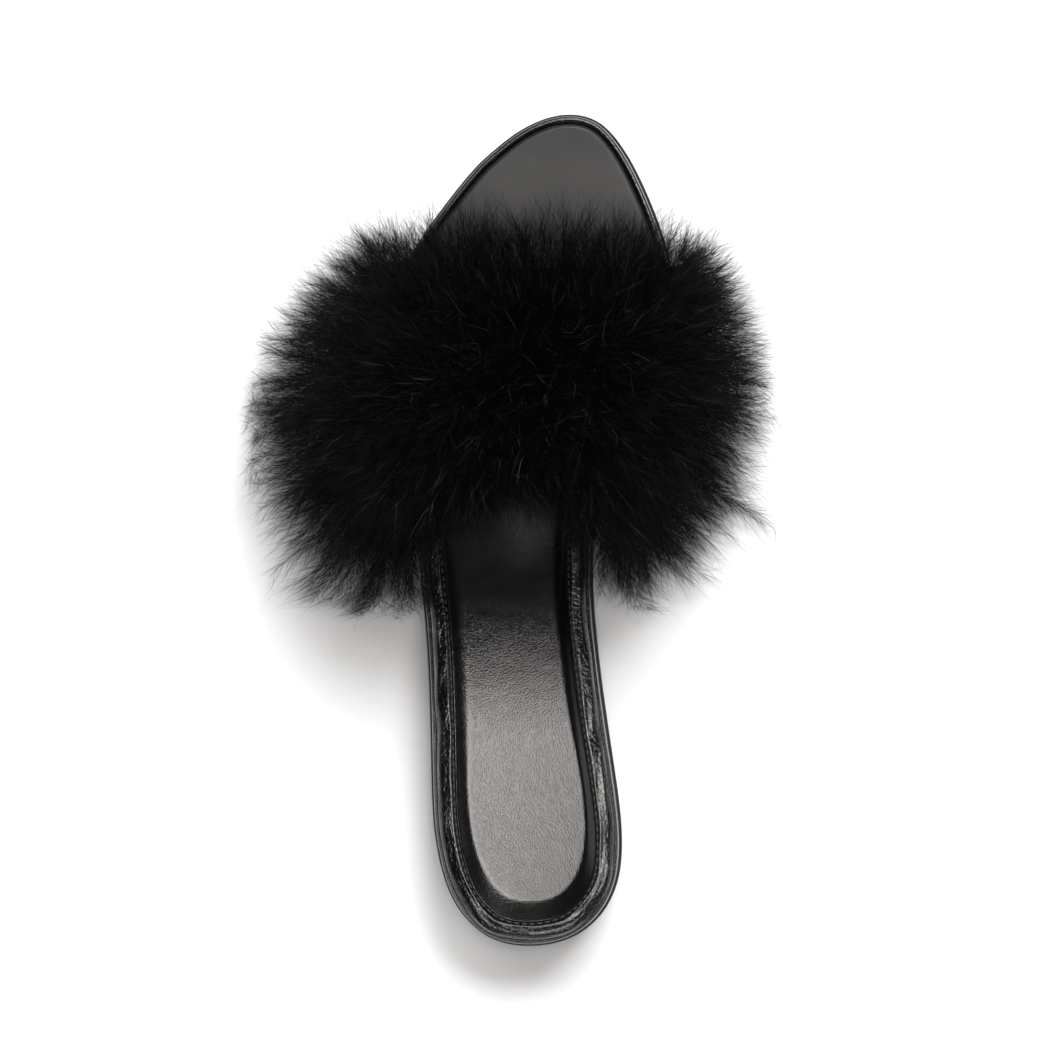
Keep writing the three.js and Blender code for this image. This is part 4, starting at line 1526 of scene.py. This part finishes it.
@dataclass
class MarabouTrim(SolePiece):
    """The feather trim: plumes that grow from dense down on the band, each with a cloud of barbs.

    Attributes:
        band: The band that carries it.
        down: Thickness of the down.
        down_edge: Its thickness at its edges.
        overhang: How far the plumes' roots pass the band's edges.
        plume: Length of a plume past the down.
        curl: Share of its length that a plume's tip bends.
        tuft: How far the barbs pass their plume's tip.
        corner: Share of its length that a plume loses at the trim's front corners.
        plumes: Number of plumes.
        barbs: Number of barbs on a plume.
        barb: Length of a barb.
        stray: Share of the barbs that stand out.
        painted_glints: Share of the barbs painted light as glints, a painted highlight.
        crest_height: Height over which the barbs lie down.
        flank_reach: Where the barbs' reach to the sides starts to fade.
        toe_reach: Where their reach to the toe starts to fade.
        heel_reach: Where their reach to the heel starts to fade.
        floor_gap: How far the barbs stay off the floor.
        sock_gap: How far they stay off the sock.
        flat_size: The trim's size if it lay flat, along the foot and over it.
        ribbon: The shape of a barb.
    """

    band: VampBand
    down: float = 15 * MM
    down_edge: float = 7 * MM
    overhang: float = 6 * MM
    plume: float = 20 * MM
    curl: float = 0.45
    tuft: float = 8.5 * MM
    corner: float = 0.65
    plumes: int = 2200
    barbs: int = 57
    barb: float = 9.5 * MM
    stray: float = 0.06
    painted_glints: float = 0.025
    crest_height: float = 74 * MM
    flank_reach: tuple[float, float] = (-81 * MM, 72 * MM)
    toe_reach: float = 192 * MM
    heel_reach: float = 69 * MM
    floor_gap: float = 1.2 * MM
    sock_gap: float = 2.2 * MM
    flat_size: tuple[float, float] = (75 * MM, 150 * MM)
    ribbon: Barbs = field(default_factory=Barbs)

    # Shares of a reach too far that the barbs lose.
    CREST_FADE = 0.6
    FLANK_FADE = 0.6
    TOE_FADE = 0.8
    HEEL_FADE = 0.62

    def __post_init__(self) -> None:
        """Reads the table of plumes."""
        names = ("lateral", "crest", "medial", "lean", "flank_lean", "fan")
        self.columns = {name: Curve.of(PLUME_ROWS, "place", name) for name in names}

    def thickness(self, place: np.ndarray, turn: np.ndarray) -> np.ndarray:
        """Thickness of the down, from the trim's back to its front edge and over the band."""
        fade = (1 - (2 * place - 1) ** 4) * (1 - (2 * turn - 1) ** 4)
        return self.down_edge + (self.down - self.down_edge) * np.sqrt(np.clip(fade, 0, 1))

    def _lumps(self, seed: int, size: float, count: int, place: np.ndarray, turn: np.ndarray) -> np.ndarray:
        """Ripples of a size over the trim."""
        return Ripples(seed, (size, size), count)(place * self.flat_size[0], turn * self.flat_size[1])

    def build_down(self) -> bpy.types.Object:
        """Builds the mass of down under the plumes.

        Returns:
            The piece.
        """
        rows, columns = 50, 110
        place, turn = np.meshgrid(np.linspace(0, 1, rows), np.linspace(0, 1, columns), indexing="ij")
        along = self.band.along_at(turn, place)
        thick = 0.72 * self.thickness(place, turn) + 1.3 * MM * self._lumps(31, 9 * MM, 40, place, turn)
        foot = self.band.wall + GAP
        outer = self.band.surface(along, turn, foot + np.maximum(thick, 2 * MM))
        inner = self.band.surface(along, turn, np.full(place.shape, foot))
        size = rows * columns
        sheet = grid_faces(rows, columns)
        first, last = np.arange(rows) * columns, np.arange(columns)
        rim = np.concatenate([last, first[1:] + columns - 1, first[-1] + last[-2::-1], first[-2::-1]])
        faces = np.concatenate([sheet, sheet[:, ::-1] + size, join_ends(rim, rim + size)[:, [0, 3, 2, 1]]])
        points = np.concatenate([outer.reshape(-1, 3), inner.reshape(-1, 3)])
        return make_piece("marabou_down", points, faces, BLACK_DOWN, ("marabou_trim",))

    def _plumes(self, draw: np.random.Generator) -> dict[str, np.ndarray]:
        """Places and bends every plume.

        Args:
            draw: The random draws.

        Returns:
            Roots, reaches, bends, turns and places of the plumes, by name.
        """
        count, rows = self.plumes, 33
        columns = math.ceil(count / rows)
        index = np.arange(count)
        place = ((index % rows) + 0.5 + draw.uniform(-0.5, 0.5, count)) / rows
        turn = ((index // rows) + 0.5 + draw.uniform(-0.5, 0.5, count)) / columns
        turn = np.clip(turn, 0.008, 0.992)
        along = self.band.along_at(turn, 0.03 + 0.89 * place, self.overhang)
        ahead, normal = self.band.directions(along, turn)
        flank = (2 * turn - 1) ** 2
        side = np.where(turn < 0.5, self.columns["lateral"](place), self.columns["medial"](place))
        crest = self.columns["crest"](place)
        free = self.plume * (crest + (side - crest) * flank**0.7)
        free = free * (1 - self.corner * flank * ease(place, 0.5, 1.0))
        tufts = [self._lumps(seed, 11 * MM, 50, place, turn) for seed in (61, 62, 63, 64)]
        lean = self.columns["lean"](place)
        lean = lean + flank * (self.columns["flank_lean"](place) - lean) + 9 * tufts[0]
        fan = 8 + flank * (self.columns["fan"](place) - 8)
        lean = np.clip(lean + draw.normal(0, 1, count) * fan, -104, 80)
        free = free * (1 - 0.34 * flank * np.abs(np.sin(2 * np.radians(np.clip(lean, -90, 0)))))
        tilt = np.radians(lean)[:, None]
        ahead[:, 0] = 0
        heading = normal * np.cos(tilt) + unit(ahead) * np.sin(tilt)
        heading[:, 2] -= 0.2 * flank
        heading = unit(heading + 0.17 * np.stack(tufts[1:], axis=1) + draw.normal(0, 0.08, (count, 3)))
        bend = draw.normal(0, 0.16, (count, 3)) + 0.2 * np.stack(tufts[:3], axis=1)
        bend[:, 2] -= 0.8
        bend += normal * (0.4 * flank)[:, None]
        down = self.thickness(place, turn)
        spread = np.clip(draw.normal(0.97, 0.1, count) + 0.08 * tufts[3], 0.6, 1.15)
        length = 0.5 * down + free * spread - self.tuft * (1 - 0.6 * flank)
        root = self.band.surface(along, turn, self.band.wall + GAP + 0.35 * down)
        return {
            "root": root,
            "reach": heading * length[:, None],
            "bend": bend * (length * self.curl)[:, None],
            "turn": turn,
            "place": place,
        }

    def build_barbs(self) -> list[bpy.types.Object]:
        """Grows the barbs of every plume.

        Returns:
            One piece for each patch of the trim.
        """
        draw = np.random.default_rng(47)
        plumes = self._plumes(draw)
        total = self.plumes * self.barbs
        length = np.linalg.norm(plumes["reach"], axis=1) + self.barb
        owner = np.sort(draw.choice(self.plumes, total, p=length**1.9 / (length**1.9).sum()))
        share = draw.uniform(0.0, 1.0, total) ** 0.8
        reach, bend = plumes["reach"][owner], plumes["bend"][owner]
        root = plumes["root"][owner] + reach * share[:, None] + bend * (share**2)[:, None]
        shaft = unit(reach + 2 * bend * share[:, None])
        aside = draw.normal(0, 1, (total, 3))
        aside = unit(aside - shaft * (aside * shaft).sum(axis=1, keepdims=True))
        open_angle = np.radians(58 - 34 * share + draw.normal(0, 10, total))[:, None]
        heading = unit(shaft * np.cos(open_angle) + aside * np.sin(open_angle))
        stray = (draw.uniform(0, 1, total) < self.stray * 2 * share)[:, None]
        forward = 0.2 * ease(plumes["place"], 0.6, 1.0)[owner][:, None]
        length = self.barb * draw.uniform(0.55, 1.15, (total, 1)) * np.where(stray, 1.6 + forward, 1.0)
        waver = draw.normal(0, 1, (total, 3)) * np.where(stray, 0.5, 0.3)
        curl = shaft * 0.2 - aside * 0.42 * np.sin(open_angle) * ~stray + waver
        curl[:, 2] = np.minimum(curl[:, 2] - 0.1, 0.15)
        root = self._above_sole(root)
        tip = self._above_sole(root + (heading + curl) * length)
        bend = curl * length
        reach = tip - bend - root
        flat = unit(np.cross(heading, draw.normal(0, 1, (total, 3))))
        width = self.ribbon.width * draw.uniform(0.7, 1.2, total) * (1.5 - share)
        width = width * np.where(stray[:, 0], 0.6, 1.0)
        # Painted light: barbs grow lighter towards the flanks, with random tone on top.
        flank = np.abs(2 * plumes["turn"] - 1)[owner]
        shades = np.clip(0.1 + 0.62 * flank**1.2 + draw.normal(0, 0.16, total), 0, 0.96)
        # A few barbs are set to full lightness as painted glints, a painted highlight.
        shades[draw.uniform(0, 1, total) < self.painted_glints] = 1.0
        patch = np.minimum((plumes["turn"] * len(Patch)).astype(int), len(Patch) - 1)[owner]
        pieces = []
        for number, name in enumerate(Patch):
            chosen = patch == number
            points, faces = self.ribbon.mesh(*(part[chosen] for part in (root, reach, bend, flat, width)))
            piece = make_piece(name.value, points, faces, MARABOU, ("marabou_trim",), smooth=False)
            self.ribbon.paint(piece, shades[chosen])
            pieces.append(piece)
        return pieces

    def _above_sole(self, points: np.ndarray) -> np.ndarray:
        """Lifts points off the floor and the sole, and draws in those that reach too far.

        Args:
            points: The points.

        Returns:
            The moved points.
        """
        lateral, medial = self.plan.sides(points[:, 1])
        inside = (points[:, 0] > lateral - 1.5 * MM) & (points[:, 0] < medial + 1.5 * MM)
        sole = self.plan.rise(points[:, 1]) + self.heights.sock_top + self.sock_gap
        low = np.where(inside, sole, self.floor_gap)
        lifted = points.copy()
        under = np.maximum(low - points[:, 2], 0)
        lifted[:, 2] = np.maximum(points[:, 2], low) + 1.6 * MM * (1 - np.exp(-under / (6 * MM)))
        lifted[:, 2] -= self.CREST_FADE * np.maximum(lifted[:, 2] - self.crest_height, 0)
        lifted[:, 0] -= self.FLANK_FADE * (points[:, 0] - np.clip(points[:, 0], *self.flank_reach))
        lifted[:, 1] -= self.TOE_FADE * np.maximum(points[:, 1] - self.toe_reach, 0)
        lifted[:, 1] += self.HEEL_FADE * np.maximum(self.heel_reach - points[:, 1], 0)
        return lifted


@dataclass(frozen=True)
class Softbox:
    """A rectangular light.

    Attributes:
        name: Its name.
        place: Its middle.
        target: What it points at.
        size: Its two sides.
        power: Its power in watts.
        colour: Its colour.
        mirrored: Whether glossy surfaces reflect it.
    """

    name: str
    place: tuple[float, float, float]
    target: tuple[float, float, float]
    size: tuple[float, float]
    power: float
    colour: Colour = (1.0, 1.0, 1.0)
    mirrored: bool = True

    def hang(self) -> None:
        """Hangs the light."""
        light = bpy.data.lights.new(self.name, "AREA")
        light.shape = "RECTANGLE"
        light.size, light.size_y = self.size
        light.energy = self.power
        light.color = self.colour
        lamp = bpy.data.objects.new(self.name, light)
        lamp.location = self.place
        lamp.rotation_euler = (Vector(self.target) - lamp.location).to_track_quat("-Z", "Y").to_euler()
        lamp.visible_glossy = self.mirrored
        lamp.visible_camera = False
        bpy.context.scene.collection.objects.link(lamp)


@dataclass
class Studio:
    """The floor, the light and the camera.

    Attributes:
        floor_size: Width of the floor.
        camera_offset: Camera from the shoe's middle.
        framed: Height of the view at the shoe.
        overhead: The softbox that the heel's sock reflects.
        rear: The dim softbox that the toe's sock reflects.
        key: The softbox beyond the toe that casts the shadow.
        fill: The low softbox that lightens the shadow on the lateral side.
        horizon: Low panels round the shoe, for its sides.
        sky: Strength of the light from all round.
    """

    floor_size: float = 12.0
    camera_offset: tuple[float, float, float] = (0.065, -0.005, 2.0)
    framed: float = 0.318
    overhead: Softbox = Softbox(
        "overhead", (0.34, 0.17, 2.5), (0.34, 0.17, 0.0), (1.22, 0.96), 16.5, (1.0, 0.96, 0.93)
    )
    rear: Softbox = Softbox("rear", (0.3, -0.8, 2.5), (0.3, -0.8, 0.0), (1.5, 1.1), 6.0)
    key: Softbox = Softbox("key", (0.85, 1.95, 2.3), (0.0, 0.05, 0.0), (1.7, 1.3), 118.0, mirrored=False)
    fill: Softbox = Softbox("fill", (-0.8, 1.3, 0.8), (-0.06, 0.05, 0.0), (1.2, 0.8), 13.0, mirrored=False)
    horizon: tuple[Softbox, ...] = tuple(
        Softbox(name, (*place, 1.35), (0.0, 0.1, 0.0), (5.5, 1.7), 13.0)
        for name, place in (
            ("front_panel", (0.0, 3.6)),
            ("back_panel", (0.0, -3.4)),
            ("lateral_panel", (-3.5, 0.1)),
            ("medial_panel", (3.5, 0.1)),
        )
    )
    sky: float = 0.12

    def build_floor(self) -> None:
        half = self.floor_size / 2
        mesh = bpy.data.meshes.new("studio_floor")
        corners = [(-half, -half, 0), (half, -half, 0), (half, half, 0), (-half, half, 0)]
        mesh.from_pydata(corners, [], [(0, 1, 2, 3)])
        mesh.materials.append(WHITE_FLOOR.material())
        floor = bpy.data.objects.new("studio_floor", mesh)
        bpy.context.scene.collection.objects.link(floor)

    def build_lights(self) -> None:
        """Hangs the softboxes and sets the sky."""
        for softbox in (self.overhead, self.rear, self.key, self.fill, *self.horizon):
            softbox.hang()
        world = bpy.data.worlds.new("studio")
        world.use_nodes = True
        background = world.node_tree.nodes["Background"]
        background.inputs["Color"].default_value = (1.0, 1.0, 1.0, 1.0)
        background.inputs["Strength"].default_value = self.sky
        bpy.context.scene.world = world
        world.cycles_visibility.glossy = False

    def build_camera(self, target: Vector) -> None:
        """Sets up the camera, above the shoe with the toe up in the picture.

        Args:
            target: The middle of the picture.
        """
        data = bpy.data.cameras.new("camera")
        camera = bpy.data.objects.new("camera", data)
        offset = Vector(self.camera_offset)
        backward = offset.normalized()
        right = Vector((0.0, 1.0, 0.0)).cross(backward).normalized()
        axes = Matrix((right, backward.cross(right), backward)).transposed()
        camera.location = target + offset
        camera.rotation_euler = axes.to_euler()
        data.sensor_fit = "VERTICAL"
        data.sensor_height = data.sensor_width
        data.angle = 2 * math.atan(self.framed / 2 / offset.length)
        data.clip_end = 50
        bpy.context.scene.collection.objects.link(camera)
        bpy.context.scene.camera = camera


def dress_footbed() -> None:
    """Gives the footbed's core, which the sock and the binding cover, its own finish."""
    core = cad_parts["footbed"]
    core.data.materials.clear()
    core.data.materials.append(FOOTBED_BOARD.material())


def report(*pieces: bpy.types.Object) -> None:
    """Logs the size of each new piece.

    Args:
        pieces: The pieces.
    """
    for piece in pieces:
        piece.data.calc_loop_triangles()
        log.info("%s: %d triangles", piece.name, len(piece.data.loop_triangles))


def main() -> None:
    """Builds the slipper's pieces, the studio and the camera."""
    logging.basicConfig(level=logging.INFO, format="%(name)s %(message)s")
    plan = SolePlan(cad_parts["outsole"])
    heights = SoleHeights(plan)
    dress_footbed()
    report(Outsole(plan, heights).build())
    heel = Heel(plan, heights)
    report(heel.build_block(), heel.build_top_piece())
    report(EdgeBinding(plan, heights).build(), Stitching(plan, heights).build())
    report(InsoleSock(plan, heights).build())
    band = VampBand(plan, heights)
    report(band.build_outer(), band.build_lining())
    trim = MarabouTrim(plan, heights, band)
    report(trim.build_down(), *trim.build_barbs())
    studio = Studio()
    studio.build_floor()
    studio.build_lights()
    studio.build_camera(Vector((-0.6 * MM, plan.back + plan.length / 2, 0.0)))
    bpy.context.scene.view_settings.view_transform = "Standard"
    bpy.context.view_layer.update()


if __name__ == "__main__":
    main()
